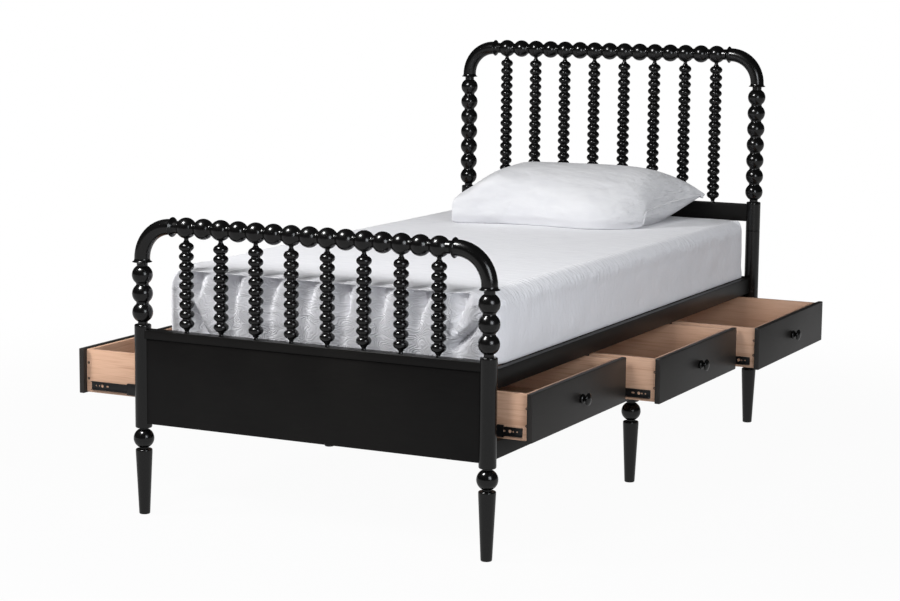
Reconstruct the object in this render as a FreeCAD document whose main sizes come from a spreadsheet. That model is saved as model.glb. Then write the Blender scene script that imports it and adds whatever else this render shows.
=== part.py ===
import FreeCAD, Part
import math
import os
from types import SimpleNamespace

# Twin platform bed in black painted wood: bead-turned head and foot boards, six side drawers on
# telescopic slides, a slatted base, a mattress and a pillow.
# Frame: X across the bed, Y from the foot to the head, Z up, origin on the floor under the middle.

doc = FreeCAD.newDocument("storage_bed")
sheet = doc.addObject("Spreadsheet::Sheet", "Sizes")

DRIVING = (
    # Plan and heights
    ("post_span_across", 1022, "post centre to post centre across the bed"),
    ("post_span_along", 1970, "post centre to post centre along the bed"),
    ("foot_rail_height", 783.5, "centre of the foot bead rail"),
    ("head_rail_height", 1191, "centre of the head bead rail"),
    ("base_bottom", 250, "underside of panels and bottom rails"),
    # Turnings
    ("ball_size", 55.6, "diameter of the large balls"),
    ("ball_neck", 33, "diameter between large balls"),
    ("ball_band", 17, "width of the flat round the middle of a ball"),
    ("rail_balls", 15, "balls on each top rail"),
    ("ball_spacing", 50.4, "ball to ball on the posts, before they are spread evenly"),
    ("foot_shoulder_rise", 12.3, "shoulder of a foot post above the flat rail"),
    ("head_shoulder_rise", 5, "shoulder of a head post above the top of the cross rail"),
    ("neck_length", 7, "plain neck at the end of a run of balls"),
    ("post_size", 45, "diameter of the plain post"),
    ("shoulder_size", 38.6, "diameter at the end of a rounded shoulder"),
    ("shoulder_height", 5, "height of a rounded shoulder"),
    ("elbow_size", 42, "diameter of the elbow tube"),
    ("elbow_radius", 90, "bend radius of the elbow at its centre line"),
    ("elbow_stub", 11, "straight lower end of the elbow, with its flange"),
    ("elbow_reach", 15.75, "straight upper end of the elbow, with its flange"),
    ("flange_size", 53, "diameter of the elbow flange"),
    ("flange_rim", 45, "diameter of the flange where it meets the neck"),
    ("flange_edge", 2, "thickness of the flange edge"),
    ("flange_cove", 4, "height of the cove from flange to tube"),
    ("leg_ball_drop", 42, "centre of the ball in a leg below the panels"),
    ("leg_neck", 24, "diameter of the necks beside the leg ball"),
    ("leg_neck_length", 4, "plain length of those necks"),
    ("mid_leg_inset", 15, "middle of a middle leg behind the rail face"),
    ("leg_foot_size", 29.5, "diameter of the leg at the floor"),
    ("leg_foot_round", 3, "height of the rounding at the floor"),
    ("joint_drop", 29, "joint in each head post below the cross rail"),
    ("joint_reveal", 1.2, "chamfer on both sides of that joint"),
    # Spindles
    ("bead_size", 39.5, "diameter of a spindle bead"),
    ("bead_neck", 23, "diameter between spindle beads"),
    ("bead_end", 24, "middle of an end bead to the rail it meets"),
    ("tip_size", 11, "diameter of a spindle at its ends"),
    ("tip_length", 7, "length of the thin end of a spindle"),
    ("foot_beads", 9, "beads on a foot spindle"),
    ("head_beads", 17, "beads on a head spindle"),
    ("spindle_count", 8, "spindles in each board"),
    # Flat boards
    ("housing_depth", 8, "how far a board is let into a post"),
    ("foot_cap_top", 505, "top of the flat rail on the footboard"),
    ("foot_cap_height", 24, "height of that rail"),
    ("foot_cap_thick", 34, "thickness of that rail"),
    ("foot_panel_thick", 24, "thickness of the foot panel"),
    ("head_cap_top", 714, "top of the cross rail on the headboard"),
    ("head_cap_height", 55, "height of that rail"),
    ("head_cap_thick", 24, "thickness of that rail"),
    ("end_rail_thick", 20, "thickness of the head end rail"),
    ("rail_top", 478, "top of the side rails"),
    ("side_rail_height", 50, "height of a side rail"),
    ("side_rail_thick", 20, "thickness of the side and bottom rails"),
    ("rail_outset", 1, "outer rail face beyond the post centres"),
    ("bottom_rail_height", 46, "height of a bottom rail"),
    ("board_ease", 1.5, "eased edges of the drawer fronts"),
    # Slats and supports
    ("slat_count", 12, "slats"),
    ("slat_width", 75, "width of a slat"),
    ("slat_thick", 16, "thickness of a slat"),
    ("slat_play", 1, "slat end to side rail"),
    ("ledge_size", 25, "slat ledge, square"),
    ("beam_width", 45, "width of the centre beam"),
    ("partition_thick", 20, "thickness of a partition"),
    ("partition_lift", 4, "partition above the underside of the rails"),
    # Drawers
    ("front_end_gap", 25, "gap between a post and the next drawer front"),
    ("front_gap", 14, "gap between drawer fronts"),
    ("front_thick", 15, "thickness of a drawer front"),
    ("front_reveal", 4, "gap above and below a drawer front"),
    ("box_depth", 440, "drawer box, front to back"),
    ("box_drop_top", 3, "top of the box below the top of the front"),
    ("box_lift", 2, "bottom of the box above the bottom of the front"),
    ("box_wall", 12, "thickness of a drawer box wall"),
    ("box_floor", 6, "thickness of the drawer floor"),
    ("floor_lift", 8, "drawer floor above the lower edge of the walls"),
    ("knob_size", 32, "diameter of a knob"),
    ("knob_reach", 28, "knob in front of the drawer front"),
    ("knob_stem", 12, "diameter of the stem"),
    ("knob_base", 19, "diameter of the knob foot"),
    # Slides
    ("slide_width", 12.5, "room for a slide beside the box"),
    ("slide_travel", 380, "travel of a drawer, closed to full out"),
    ("slide_hold", 20, "slide member longer than its travel"),
    ("slide_setback", 17, "slide behind the back of the front"),
    ("slide_height", 20.5, "slide centre above the bottom of the box"),
    ("slide_tall", 36, "height of the fixed member"),
    ("slide_sheet", 1.5, "sheet thickness of the webs"),
    ("fixed_lip", 2, "flange thickness of the fixed member"),
    ("fixed_reach", 9, "width of the fixed member"),
    ("middle_lip", 3.6, "flange of the middle member, with its balls"),
    ("middle_reach", 8, "width of the middle member"),
    ("middle_step", 2.4, "middle member off the partition"),
    ("inner_lip", 2, "flange thickness of the drawer member"),
    ("inner_reach", 7.5, "width of the drawer member"),
    ("slide_play", 0.35, "running gap in a slide"),
    # Drawer places in this pose, as travel from closed
    ("open_right_1", 97, "right drawer nearest the foot"),
    ("open_right_2", 190, "right middle drawer"),
    ("open_right_3", 255, "right drawer nearest the head"),
    ("open_left_1", 242, "left drawer nearest the foot"),
    ("open_left_2", 190, "left middle drawer"),
    ("open_left_3", 255, "left drawer nearest the head"),
    # Mattress and pillow
    ("mattress_inset", 16, "side of the mattress behind the post centres"),
    ("mattress_foot_gap", 21, "mattress to the flat rail of the footboard"),
    ("mattress_head_gap", 15, "mattress to the cross rail of the headboard"),
    ("mattress_edge", 176, "mattress height at its edges"),
    ("mattress_crown", 12, "rise of the middle above the edges"),
    ("crown_width", 90, "width of the rise, from the rolled edge inwards"),
    ("mattress_corner", 80, "corner radius in plan"),
    ("mattress_roll", 34, "rounding of the top edge"),
    ("mattress_draw", 4, "how far the lower edge is drawn in"),
    ("fold_depth", 9, "depth of the folds at the foot end"),
    ("fold_count", 9, "folds across the foot end"),
    ("soft_gap", 0.3, "soft piece to what carries it"),
    ("pillow_width", 640, "pillow between its side edges"),
    ("pillow_depth_left", 520, "pillow along its left edge"),
    ("pillow_depth_right", 360, "pillow along its right edge"),
    ("pillow_thick", 165, "top of the pillow above the mattress"),
    ("pillow_across", 30, "middle of the pillow, across the bed"),
    ("pillow_gap", 72, "back edge of the pillow to the head post centres"),
    # Facets: what repeats by the hundred has few
    ("turned_sides", 12, "facets round the posts, rails and legs"),
    ("bead_sides", 8, "facets round a spindle"),
    ("knob_sides", 10, "facets round a knob"),
    ("elbow_steps", 6, "straight lengths in an elbow"),
)

DERIVED = (
    ("post_x", "post_span_across / 2"),
    ("post_y", "post_span_along / 2"),
    ("rail_face_x", "post_x + rail_outset"),
    ("rail_back_x", "rail_face_x - side_rail_thick"),
    ("board_end_x", "post_x - post_size / 2 + housing_depth"),
    ("board_end_y", "post_y - post_size / 2 + housing_depth"),
    ("side_rail_bottom", "rail_top - side_rail_height"),
    ("bay_bottom", "base_bottom + bottom_rail_height"),
    ("front_bottom", "bay_bottom + front_reveal"),
    ("front_height", "side_rail_bottom - bay_bottom - 2 * front_reveal"),
    ("box_bottom", "front_bottom + box_lift"),
    ("box_height", "front_height - box_lift - box_drop_top"),
    ("front_width", "( post_span_along - post_size - 2 * front_end_gap - 2 * front_gap ) / 3"),
    ("front_pitch", "front_width + front_gap"),
    ("box_width", "front_pitch - partition_thick - 2 * slide_width"),
    ("slide_z", "box_bottom + slide_height"),
    ("slide_length", "slide_travel + slide_hold"),
    ("bay_half", "( front_pitch - partition_thick ) / 2"),
    ("slide_front", "rail_face_x - front_thick - slide_setback"),
    ("bay_end_y", "front_pitch * 3 / 2 + partition_thick / 2"),
    ("slat_bottom", "rail_top - slat_thick"),
    ("ledge_bottom", "slat_bottom - ledge_size"),
    ("middle_tall", "slide_tall - 2 * fixed_lip - 2 * slide_play"),
    ("inner_tall", "middle_tall - 2 * middle_lip - 2 * slide_play"),
    ("knob_z", "front_bottom + front_height / 2"),
    ("leg_ball_height", "base_bottom - leg_ball_drop"),
    ("rail_half", "post_x - elbow_radius - elbow_reach"),
    ("rail_pitch", "2 * ( rail_half - neck_length ) / rail_balls"),
    ("foot_elbow_bottom", "foot_rail_height - elbow_radius - elbow_stub"),
    ("head_elbow_bottom", "head_rail_height - elbow_radius - elbow_stub"),
    ("foot_run", "foot_elbow_bottom - 2 * neck_length - foot_cap_top - foot_shoulder_rise"),
    ("foot_post_balls", "max( 1 ; round( foot_run / ball_spacing ) )"),
    ("foot_pitch", "foot_run / foot_post_balls"),
    ("head_run", "head_elbow_bottom - 2 * neck_length - head_cap_top - head_shoulder_rise"),
    ("head_post_balls", "max( 1 ; round( head_run / ball_spacing ) )"),
    ("head_pitch", "head_run / head_post_balls"),
    ("post_joint_height", "head_cap_top - head_cap_height - joint_drop"),
    ("mattress_width", "post_span_across - 2 * mattress_inset"),
    ("mattress_foot", "foot_cap_thick / 2 + mattress_foot_gap - post_y"),
    ("mattress_head", "post_y - head_cap_thick / 2 - mattress_head_gap"),
    ("mattress_length", "mattress_head - mattress_foot"),
    ("mattress_shift", "( mattress_head + mattress_foot ) / 2"),
)


def fill_sheet():
    """Write the named sizes: driving ones as plain numbers, the others worked out from them."""
    row = 1
    for name, value, meaning in DRIVING:
        sheet.set(f"A{row}", meaning)
        sheet.set(f"B{row}", str(value))
        sheet.setAlias(f"B{row}", name)
        row += 1
    for name, formula in DERIVED:
        sheet.set(f"B{row}", "=" + formula)
        sheet.setAlias(f"B{row}", name)
        row += 1
    doc.recompute()


fill_sheet()
names = [entry[0] for entry in DRIVING + DERIVED]
s = SimpleNamespace(**{name: float(sheet.get(name)) for name in names})


def count(value):
    """A whole number from the sheet."""
    return int(round(value))


def bound(formula):
    """Put the sheet's name before each named size of a formula."""
    words = formula.replace("(", " ( ").replace(")", " ) ").split()
    return " ".join("Sizes." + word if word in names else word for word in words)


# Solids from flat facets

def flat(points):
    """A flat face through a closed row of points."""
    return Part.Face(Part.makePolygon(points + [points[0]]))


def is_flat(corners):
    """True where the fourth corner lies in the plane of the first three."""
    across = corners[1].sub(corners[0]).cross(corners[2].sub(corners[0]))
    if across.Length == 0:
        return False
    return abs(across.normalize().dot(corners[3].sub(corners[0]))) < Part.Precision.confusion()


def skin(rings):
    """A closed solid over a row of matching rings."""
    faces = [flat(rings[0]), flat(rings[-1])]
    for lower, upper in zip(rings, rings[1:]):
        for here in range(len(lower)):
            after = (here + 1) % len(lower)
            corners = [lower[here], lower[after], upper[after], upper[here]]
            if is_flat(corners):
                faces.append(flat(corners))
            else:
                faces.append(flat(corners[:3]))
                faces.append(flat([corners[0], corners[2], corners[3]]))
    solid = Part.Solid(Part.Shell(faces))
    if solid.Volume < 0:
        solid.reverse()
    return solid


def ring(centre, across, up, radius, sides):
    """Corners of a regular polygon whose flats touch a circle, one towards each of its two directions."""
    turn = 2 * math.pi / sides
    reach = radius / math.cos(turn / 2)
    return [centre + across * (reach * math.cos(turn * (place + 1 / 2)))
            + up * (reach * math.sin(turn * (place + 1 / 2))) for place in range(sides)]


AXIS_X = FreeCAD.Vector(1, 0, 0)
AXIS_Y = FreeCAD.Vector(0, 1, 0)
AXIS_Z = FreeCAD.Vector(0, 0, 1)


def turned(stations, sides):
    """A turned piece along Z, from its heights and diameters."""
    rings = [ring(AXIS_Z * height, AXIS_X, AXIS_Y, size / 2, count(sides)) for height, size in stations]
    return skin(rings)


def feature(label, shape, place=FreeCAD.Placement()):
    """A sub-part whose shape is set here from the sheet's sizes."""
    piece = doc.addObject("Part::Feature", label)
    piece.Label = label
    piece.Shape = shape
    piece.Placement = place
    return piece


# Boards and other boxes, bound to the sheet

def block(label, low, size):
    """A box from its low corner and its sizes, all as formulas of named sizes."""
    piece = doc.addObject("Part::Box", label)
    piece.Label = label
    for axis, formula in zip("xyz", low):
        piece.setExpression(f"Placement.Base.{axis}", bound(formula))
    for side, formula in zip(("Length", "Width", "Height"), size):
        piece.setExpression(side, bound(formula))
    return piece


def joined(label, pieces):
    """Several solids of one sub-part, kept apart in one compound."""
    group = doc.addObject("Part::Compound", label)
    group.Label = label
    group.Links = pieces
    return group


def less(label, base, tools):
    """A sub-part with others let into it."""
    tool = tools[0]
    if len(tools) > 1:
        tool = doc.addObject("Part::MultiFuse", label + "_tools")
        tool.Shapes = tools
    piece = doc.addObject("Part::Cut", label)
    piece.Label = label
    piece.Base = base
    piece.Tool = tool
    return piece


parts = []


def keep(piece):
    """List a finished sub-part for writing."""
    parts.append(piece)
    return piece


SIDES = (("right", 1), ("left", -1))


# Base frame

def side_boards():
    """Side and bottom rails, and the ledges behind the side rails."""
    ledges = []
    for side, sign in SIDES:
        x = "rail_back_x" if sign > 0 else "-1 * rail_face_x"
        length = "2 * board_end_y"
        keep(block(f"side_rail_{side}", (x, "-1 * board_end_y", "side_rail_bottom"),
                   ("side_rail_thick", length, "side_rail_height")))
        keep(block(f"bottom_rail_{side}", (x, "-1 * board_end_y", "base_bottom"),
                   ("side_rail_thick", length, "bottom_rail_height")))
        ledge_x = "rail_back_x - ledge_size" if sign > 0 else "-1 * rail_back_x"
        ledges.append(block(f"ledge_{side}", (ledge_x, "-1 * bay_end_y", "ledge_bottom"),
                            ("ledge_size", "2 * bay_end_y", "ledge_size")))
    keep(joined("slat_ledges", ledges))


def supports():
    """Cross partitions, the centre beam on them and the slats."""
    walls = []
    for place in range(4):
        walls.append(block(f"partition_{place}",
                           ("-1 * rail_back_x", f"front_pitch * ( {place} - 3 / 2 ) - partition_thick / 2",
                            "base_bottom + partition_lift"),
                           ("2 * rail_back_x", "partition_thick",
                            "ledge_bottom - base_bottom - partition_lift")))
    keep(joined("partitions", walls))
    keep(block("centre_beam", ("-1 * beam_width / 2", "-1 * bay_end_y", "ledge_bottom"),
               ("beam_width", "2 * bay_end_y", "ledge_size")))
    slats = []
    for place in range(count(s.slat_count)):
        step = "( 2 * bay_end_y - slat_width ) / ( slat_count - 1 )"
        slats.append(block(f"slat_{place}",
                           ("slat_play - rail_back_x", f"{place} * {step} - bay_end_y", "slat_bottom"),
                           ("2 * rail_back_x - 2 * slat_play", "slat_width", "slat_thick")))
    keep(joined("slats", slats))


def end_boards():
    """Cap rail and panel of the footboard, cross rail and end rail of the headboard."""
    def across(label, middle_y, thick, bottom, height):
        return keep(block(label, ("-1 * board_end_x", f"{middle_y} - {thick} / 2", bottom),
                          ("2 * board_end_x", thick, height)))
    across("footboard_cap_rail", "-1 * post_y", "foot_cap_thick", "foot_cap_top - foot_cap_height",
           "foot_cap_height")
    across("footboard_panel", "-1 * post_y", "foot_panel_thick", "base_bottom",
           "foot_cap_top - foot_cap_height - base_bottom")
    across("headboard_cross_rail", "post_y", "head_cap_thick", "head_cap_top - head_cap_height",
           "head_cap_height")
    across("headboard_end_rail", "post_y", "end_rail_thick", "base_bottom", "rail_top - base_bottom")


# Turned work

def ball_half(neck):
    """Middle of a ball to where its surface is as wide as a neck."""
    return math.sqrt((s.ball_size / 2) ** 2 - (neck / 2) ** 2)


def balls(start, pitch, number):
    """Heights and diameters of a run of balls upwards from a height."""
    stations = []
    for place in range(number):
        middle = start + pitch * (place + 1 / 2)
        stations.append((middle - s.ball_band / 2, s.ball_size))
        stations.append((middle + s.ball_band / 2, s.ball_size))
        stations.append((middle + pitch / 2, s.ball_neck))
    return stations


def leg():
    """Tapered leg and its ball, from the floor to the shoulder above."""
    half = ball_half(s.leg_neck)
    taper_top = s.leg_ball_height - half - s.leg_neck_length
    shoulder = s.leg_ball_height + half + s.leg_neck_length
    return [(0, s.leg_foot_size - s.leg_foot_round),
            (s.leg_foot_round, s.leg_foot_size),
            (taper_top - s.shoulder_height, s.post_size),
            (taper_top, s.shoulder_size),
            (taper_top, s.leg_neck),
            (s.leg_ball_height - half, s.leg_neck),
            (s.leg_ball_height - s.ball_band / 2, s.ball_size),
            (s.leg_ball_height + s.ball_band / 2, s.ball_size),
            (s.leg_ball_height + half, s.leg_neck),
            (shoulder, s.leg_neck),
            (shoulder, s.shoulder_size),
            (shoulder + s.shoulder_height, s.post_size)]


def post_top(elbow_bottom, pitch, number):
    """Shoulder, necks and balls of a post, up to the elbow."""
    start = elbow_bottom - s.neck_length - number * pitch
    shoulder = start - s.neck_length
    return ([(shoulder - s.shoulder_height, s.post_size),
             (shoulder, s.shoulder_size),
             (shoulder, s.ball_neck),
             (start, s.ball_neck)]
            + balls(start, pitch, number)
            + [(elbow_bottom, s.ball_neck)])


def stand(piece, x, y, z="0"):
    """Bind a piece's place to named sizes."""
    for axis, formula in zip("xyz", (x, y, z)):
        piece.setExpression(f"Placement.Base.{axis}", bound(formula))
    return piece


def posts():
    """The four posts, each with the boards that meet it let in."""
    foot = turned(leg() + post_top(s.foot_elbow_bottom, s.foot_pitch, count(s.foot_post_balls)), s.turned_sides)
    joint = s.post_joint_height
    reveal = s.joint_reveal
    lower = turned(leg() + [(joint - reveal, s.post_size), (joint, s.post_size - 2 * reveal)], s.turned_sides)
    upper = turned([(joint, s.post_size - 2 * reveal), (joint + reveal, s.post_size)]
                   + post_top(s.head_elbow_bottom, s.head_pitch, count(s.head_post_balls)), s.turned_sides)
    boards = {piece.Label: piece for piece in parts}
    for side, sign in SIDES:
        x = "post_x" if sign > 0 else "-1 * post_x"
        rails = [boards[f"side_rail_{side}"], boards[f"bottom_rail_{side}"]]
        blank = stand(feature(f"foot_post_blank_{side}", foot), x, "-1 * post_y")
        keep(less(f"footboard_post_{side}", blank,
                  rails + [boards["footboard_cap_rail"], boards["footboard_panel"]]))
        rails += [boards["headboard_end_rail"], boards["headboard_cross_rail"]]
        for name, shape in (("lower", lower), ("upper", upper)):
            blank = stand(feature(f"head_{name}_blank_{side}", shape), x, "post_y")
            keep(less(f"headboard_{name}_post_{side}", blank, rails))


def middle_legs():
    """The two legs under the middle of the bottom rails."""
    shape = turned(leg() + [(s.base_bottom, s.post_size)], s.turned_sides)
    for side, sign in SIDES:
        x = "rail_face_x - mid_leg_inset" if sign > 0 else "mid_leg_inset - rail_face_x"
        keep(stand(feature(f"middle_leg_{side}", shape), x, "0"))


def elbow_shape():
    """Elbow from the top of a post, at the origin, up and over towards +X."""
    flange = [(0, s.flange_rim), (s.flange_edge, s.flange_size), (2 * s.flange_edge, s.flange_size),
              (2 * s.flange_edge + s.flange_cove, s.elbow_size)]
    rings = [ring(AXIS_Z * height, AXIS_X, AXIS_Y, size / 2, count(s.turned_sides)) for height, size in flange]
    middle = AXIS_X * s.elbow_radius + AXIS_Z * s.elbow_stub
    steps = count(s.elbow_steps)
    for step in range(steps + 1):
        turn = math.pi / 2 * step / steps
        out = AXIS_X * -math.cos(turn) + AXIS_Z * math.sin(turn)
        rings.append(ring(middle + out * s.elbow_radius, out * -1, AXIS_Y, s.elbow_size / 2,
                          count(s.turned_sides)))
    tip = AXIS_X * (s.elbow_radius + s.elbow_reach) + AXIS_Z * (s.elbow_stub + s.elbow_radius)
    for height, size in reversed(flange):
        rings.append(ring(tip - AXIS_X * height, AXIS_Z * -1, AXIS_Y, size / 2, count(s.turned_sides)))
    return skin(rings)


def boards_tops():
    """Bead rails, elbows and spindles of both boards."""
    rail = turned([(-s.rail_half, s.ball_neck), (s.neck_length - s.rail_half, s.ball_neck)]
                  + balls(s.neck_length - s.rail_half, s.rail_pitch, count(s.rail_balls))
                  + [(s.rail_half, s.ball_neck)], s.turned_sides)
    lying = FreeCAD.Rotation(AXIS_Y, 90)
    bend = elbow_shape()
    facing = {1: FreeCAD.Rotation(AXIS_Z, 180), -1: FreeCAD.Rotation()}
    for board, y, low, number in (("footboard", "-1 * post_y", "foot_cap_top", s.foot_beads),
                                  ("headboard", "post_y", "head_cap_top", s.head_beads)):
        short = board[:4]
        piece = feature(f"{board}_bead_rail", rail, FreeCAD.Placement(FreeCAD.Vector(), lying))
        keep(stand(piece, "0", y, f"{short}_rail_height"))
        bends = []
        for side, sign in SIDES:
            piece = feature(f"{short}_elbow_{side}", bend, FreeCAD.Placement(FreeCAD.Vector(), facing[sign]))
            bends.append(stand(piece, "post_x" if sign > 0 else "-1 * post_x", y, f"{short}_elbow_bottom"))
        keep(joined(f"{board}_elbows", bends))
        height = getattr(s, f"{short}_rail_height") - s.ball_size / 2 - getattr(s, low)
        stick = turned(spindle(height, count(number)), s.bead_sides)
        copies = []
        for place in range(count(s.spindle_count)):
            piece = feature(f"{short}_spindle_{place}", stick)
            copies.append(stand(piece, f"rail_pitch * ( 2 * {place} + 1 - spindle_count )", y, low))
        keep(joined(f"{board}_spindles", copies))


def spindle(height, number):
    """Heights and diameters of a spindle with a thin tip at both ends."""
    pitch = (height - 2 * s.bead_end) / (number - 1)
    stations = [(0, s.tip_size), (s.tip_length, s.tip_size)]
    for place in range(number):
        middle = s.bead_end + pitch * place
        if place > 0:
            stations.append((middle - pitch / 2, s.bead_neck))
        stations.append((middle, s.bead_size))
    return stations + [(height - s.tip_length, s.tip_size), (height, s.tip_size)]


# Drawers and their slides

def channel(label, x, y_open, y_web, z_half, lip, way):
    """One slide member: a C section with its web at y_web and its lips reaching to y_open."""
    low, high = (y_open, y_web) if way > 0 else (y_web, y_open)
    solid = block(label + "_solid", (x, low, f"slide_z - {z_half}"),
                  ("slide_length", f"{high} - ( {low} )", f"2 * {z_half}"))
    cut_low, cut_high = (low, f"{high} - slide_sheet") if way > 0 else (f"{low} + slide_sheet", high)
    hollow = block(label + "_hollow", (x, cut_low, f"slide_z - {z_half} + {lip}"),
                   ("slide_length", f"{cut_high} - ( {cut_low} )", f"2 * ( {z_half} - {lip} )"))
    return less(label, solid, [hollow])


def slide_pair(kind, side, sign, number, x):
    """The two like members of one drawer's slides, one at each side of its box."""
    pair = []
    for way, name in ((1, "head"), (-1, "foot")):
        middle = f"front_pitch * ( {number} - 2 )"
        wall = f"{middle} + {way} * bay_half"
        if kind == "fixed":
            web, tip = wall, f"{wall} - {way} * fixed_reach"
            half, lip, faces = "slide_tall / 2", "fixed_lip", way
        elif kind == "middle":
            web = f"{wall} - {way} * middle_step"
            tip = f"{web} - {way} * middle_reach"
            half, lip, faces = "middle_tall / 2", "middle_lip", way
        else:
            web = f"{middle} + {way} * box_width / 2"
            tip = f"{web} + {way} * inner_reach"
            half, lip, faces = "inner_tall / 2", "inner_lip", -way
        pair.append(channel(f"{kind}_{side}_{number}_{name}", x, tip, web, half, lip, faces))
    return pair


def knob_shape():
    """Turned knob along Z: foot, waisted stem and flattened head."""
    reach = s.knob_reach
    return turned([(0, s.knob_base), (reach / 10, s.knob_base), (reach / 4, s.knob_stem),
                   (reach * 2 / 5, s.knob_stem), (reach * 11 / 20, s.knob_size * 4 / 5),
                   (reach * 7 / 10, s.knob_size), (reach * 17 / 20, s.knob_size * 9 / 10),
                   (reach, s.knob_size / 2)], s.knob_sides)


def drawers():
    """Six drawers with fronts, boxes, knobs and slide members, and the fixed members."""
    knob = knob_shape()
    fixed = []
    for side, sign in SIDES:
        for number in range(1, 4):
            tail = f"{side}_{number}"
            travel = f"open_{tail}"
            middle = f"front_pitch * ( {number} - 2 )"
            keep(drawer_front(tail, sign, travel, middle))
            keep(drawer_box(tail, sign, travel, middle))
            turn = FreeCAD.Rotation(AXIS_Y, 90 * sign)
            piece = feature(f"drawer_knob_{tail}", knob, FreeCAD.Placement(FreeCAD.Vector(), turn))
            keep(stand(piece, f"{sign} * ( rail_face_x + {travel} )", middle, "knob_z"))
            keep(joined(f"drawer_slides_{tail}",
                        slide_pair("inner", side, sign, number, slide_x(sign, travel))))
            keep(joined(f"middle_slides_{tail}",
                        slide_pair("middle", side, sign, number, slide_x(sign, f"{travel} / 2"))))
            fixed += slide_pair("fixed", side, sign, number, slide_x(sign, "0"))
    keep(joined("fixed_slides", fixed))


def slide_x(sign, travel):
    """Low end of a slide member along X, for how far it has moved out."""
    if sign > 0:
        return f"slide_front - slide_length + {travel}"
    return f"-1 * slide_front - {travel}"


def drawer_front(tail, sign, travel, middle):
    """Slab front with eased outer edges."""
    x = f"rail_face_x - front_thick + {travel}" if sign > 0 else f"-1 * rail_face_x - {travel}"
    slab = block(f"front_slab_{tail}", (x, f"{middle} - front_width / 2", "front_bottom"),
                 ("front_thick", "front_width", "front_height"))
    doc.recompute()
    outer = max(slab.Shape.Faces, key=lambda face: face.CenterOfMass.x * sign)
    edges = [place + 1 for place, edge in enumerate(slab.Shape.Edges)
             if any(edge.isSame(other) for other in outer.Edges)]
    piece = doc.addObject("Part::Chamfer", f"drawer_front_{tail}")
    piece.Label = f"drawer_front_{tail}"
    piece.Base = slab
    piece.Edges = [(edge, s.board_ease, s.board_ease) for edge in edges]
    return piece


def drawer_box(tail, sign, travel, middle):
    """Open wooden box: four walls and a floor let in above their lower edge."""
    x = (f"rail_face_x - front_thick - box_depth + {travel}" if sign > 0
         else f"-1 * rail_face_x + front_thick - {travel}")
    y = f"{middle} - box_width / 2"
    solid = block(f"box_solid_{tail}", (x, y, "box_bottom"), ("box_depth", "box_width", "box_height"))
    inside = ("box_depth - 2 * box_wall", "box_width - 2 * box_wall")
    above = block(f"box_inside_{tail}",
                  (f"{x} + box_wall", f"{y} + box_wall", "box_bottom + floor_lift + box_floor"),
                  inside + ("box_height - floor_lift - box_floor",))
    below = block(f"box_under_{tail}", (f"{x} + box_wall", f"{y} + box_wall", "box_bottom"),
                  inside + ("floor_lift",))
    return less(f"drawer_box_{tail}", solid, [above, below])


# Mattress and pillow

def rounded(half_x, half_y, corner, height, fold):
    """A rounded rectangle at a height, its foot side in folds of a given depth."""
    points = []
    steps = 4
    for quarter, (turn_x, turn_y) in enumerate(((1, 1), (-1, 1), (-1, -1), (1, -1))):
        for step in range(steps + 1):
            angle = math.pi / 2 * (quarter + step / steps)
            points.append(FreeCAD.Vector(turn_x * (half_x - corner) + corner * math.cos(angle),
                                         turn_y * (half_y - corner) + corner * math.sin(angle), height))
        if quarter == 2:
            folds = count(s.fold_count)
            span = 2 * (half_x - corner)
            for place in range(1, 2 * folds):
                along = place / (2 * folds)
                inwards = fold if place % 2 == 0 else 0
                points.append(FreeCAD.Vector(span * (along - 1 / 2), inwards - half_y, height))
    return points


def mattress_shape():
    """Mattress with drawn-in lower edge, rolled top edge, crown and folds at the foot end."""
    level_shares = ((0, 1, 0), (1 / 6, 1 / 4, 1 / 2), (1 / 2, 0, 3 / 4))
    edge = s.mattress_edge
    roll = s.mattress_roll
    rings = []

    def level(height, inset, fold):
        corner = s.mattress_corner - inset / 2
        rings.append(rounded(s.mattress_width / 2 - inset, s.mattress_length / 2 - inset, corner, height, fold))

    for up, draw, fold in level_shares:
        level(edge * up, s.mattress_draw * draw, s.fold_depth * fold)
    level(edge - roll, 0, s.fold_depth)
    level(edge - roll * 3 / 10, roll * 3 / 10, s.fold_depth / 2)
    level(edge, roll, 0)
    level(edge + s.mattress_crown, roll + s.crown_width, 0)
    return skin(rings)


def pillow_shape():
    """Plump pillow on a flat underside, its seam low at the front and raised at the back."""
    sides = 24
    level_shares = ((0, 0, 0.7, 0.5), (0.04, 0.14, 0.92, 0.35), (0.14, 0.45, 1, 0.16), (0.42, 0.74, 0.94, 0.3),
                    (0.76, 0.93, 0.74, 0.45), (0.94, 0.99, 0.46, 0.6), (1, 1, 0.16, 0.8))
    rings = []
    for front_up, back_up, spread, roundness in level_shares:
        row = []
        for place in range(sides):
            angle = 2 * math.pi * (place + 1 / 2) / sides
            across = spread * math.copysign(abs(math.cos(angle)) ** roundness, math.cos(angle))
            along = spread * math.copysign(abs(math.sin(angle)) ** roundness, math.sin(angle))
            back = (along + 1) / 2
            depth = s.pillow_depth_left + (s.pillow_depth_right - s.pillow_depth_left) * (across + 1) / 2
            up = front_up + (back_up - front_up) * back
            row.append(FreeCAD.Vector(s.pillow_width / 2 * across, depth * (back - 1), s.pillow_thick * up))
        rings.append(row)
    return skin(rings)


def bedding():
    """Mattress on the slats and pillow on the mattress."""
    keep(stand(feature("mattress", mattress_shape()), "0", "mattress_shift", "rail_top + soft_gap"))
    keep(stand(feature("pillow", pillow_shape()), "pillow_across", "post_y - pillow_gap",
               "rail_top + mattress_edge + mattress_crown + 2 * soft_gap"))


side_boards()
supports()
end_boards()
posts()
middle_legs()
boards_tops()
drawers()
bedding()
doc.recompute()

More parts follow.
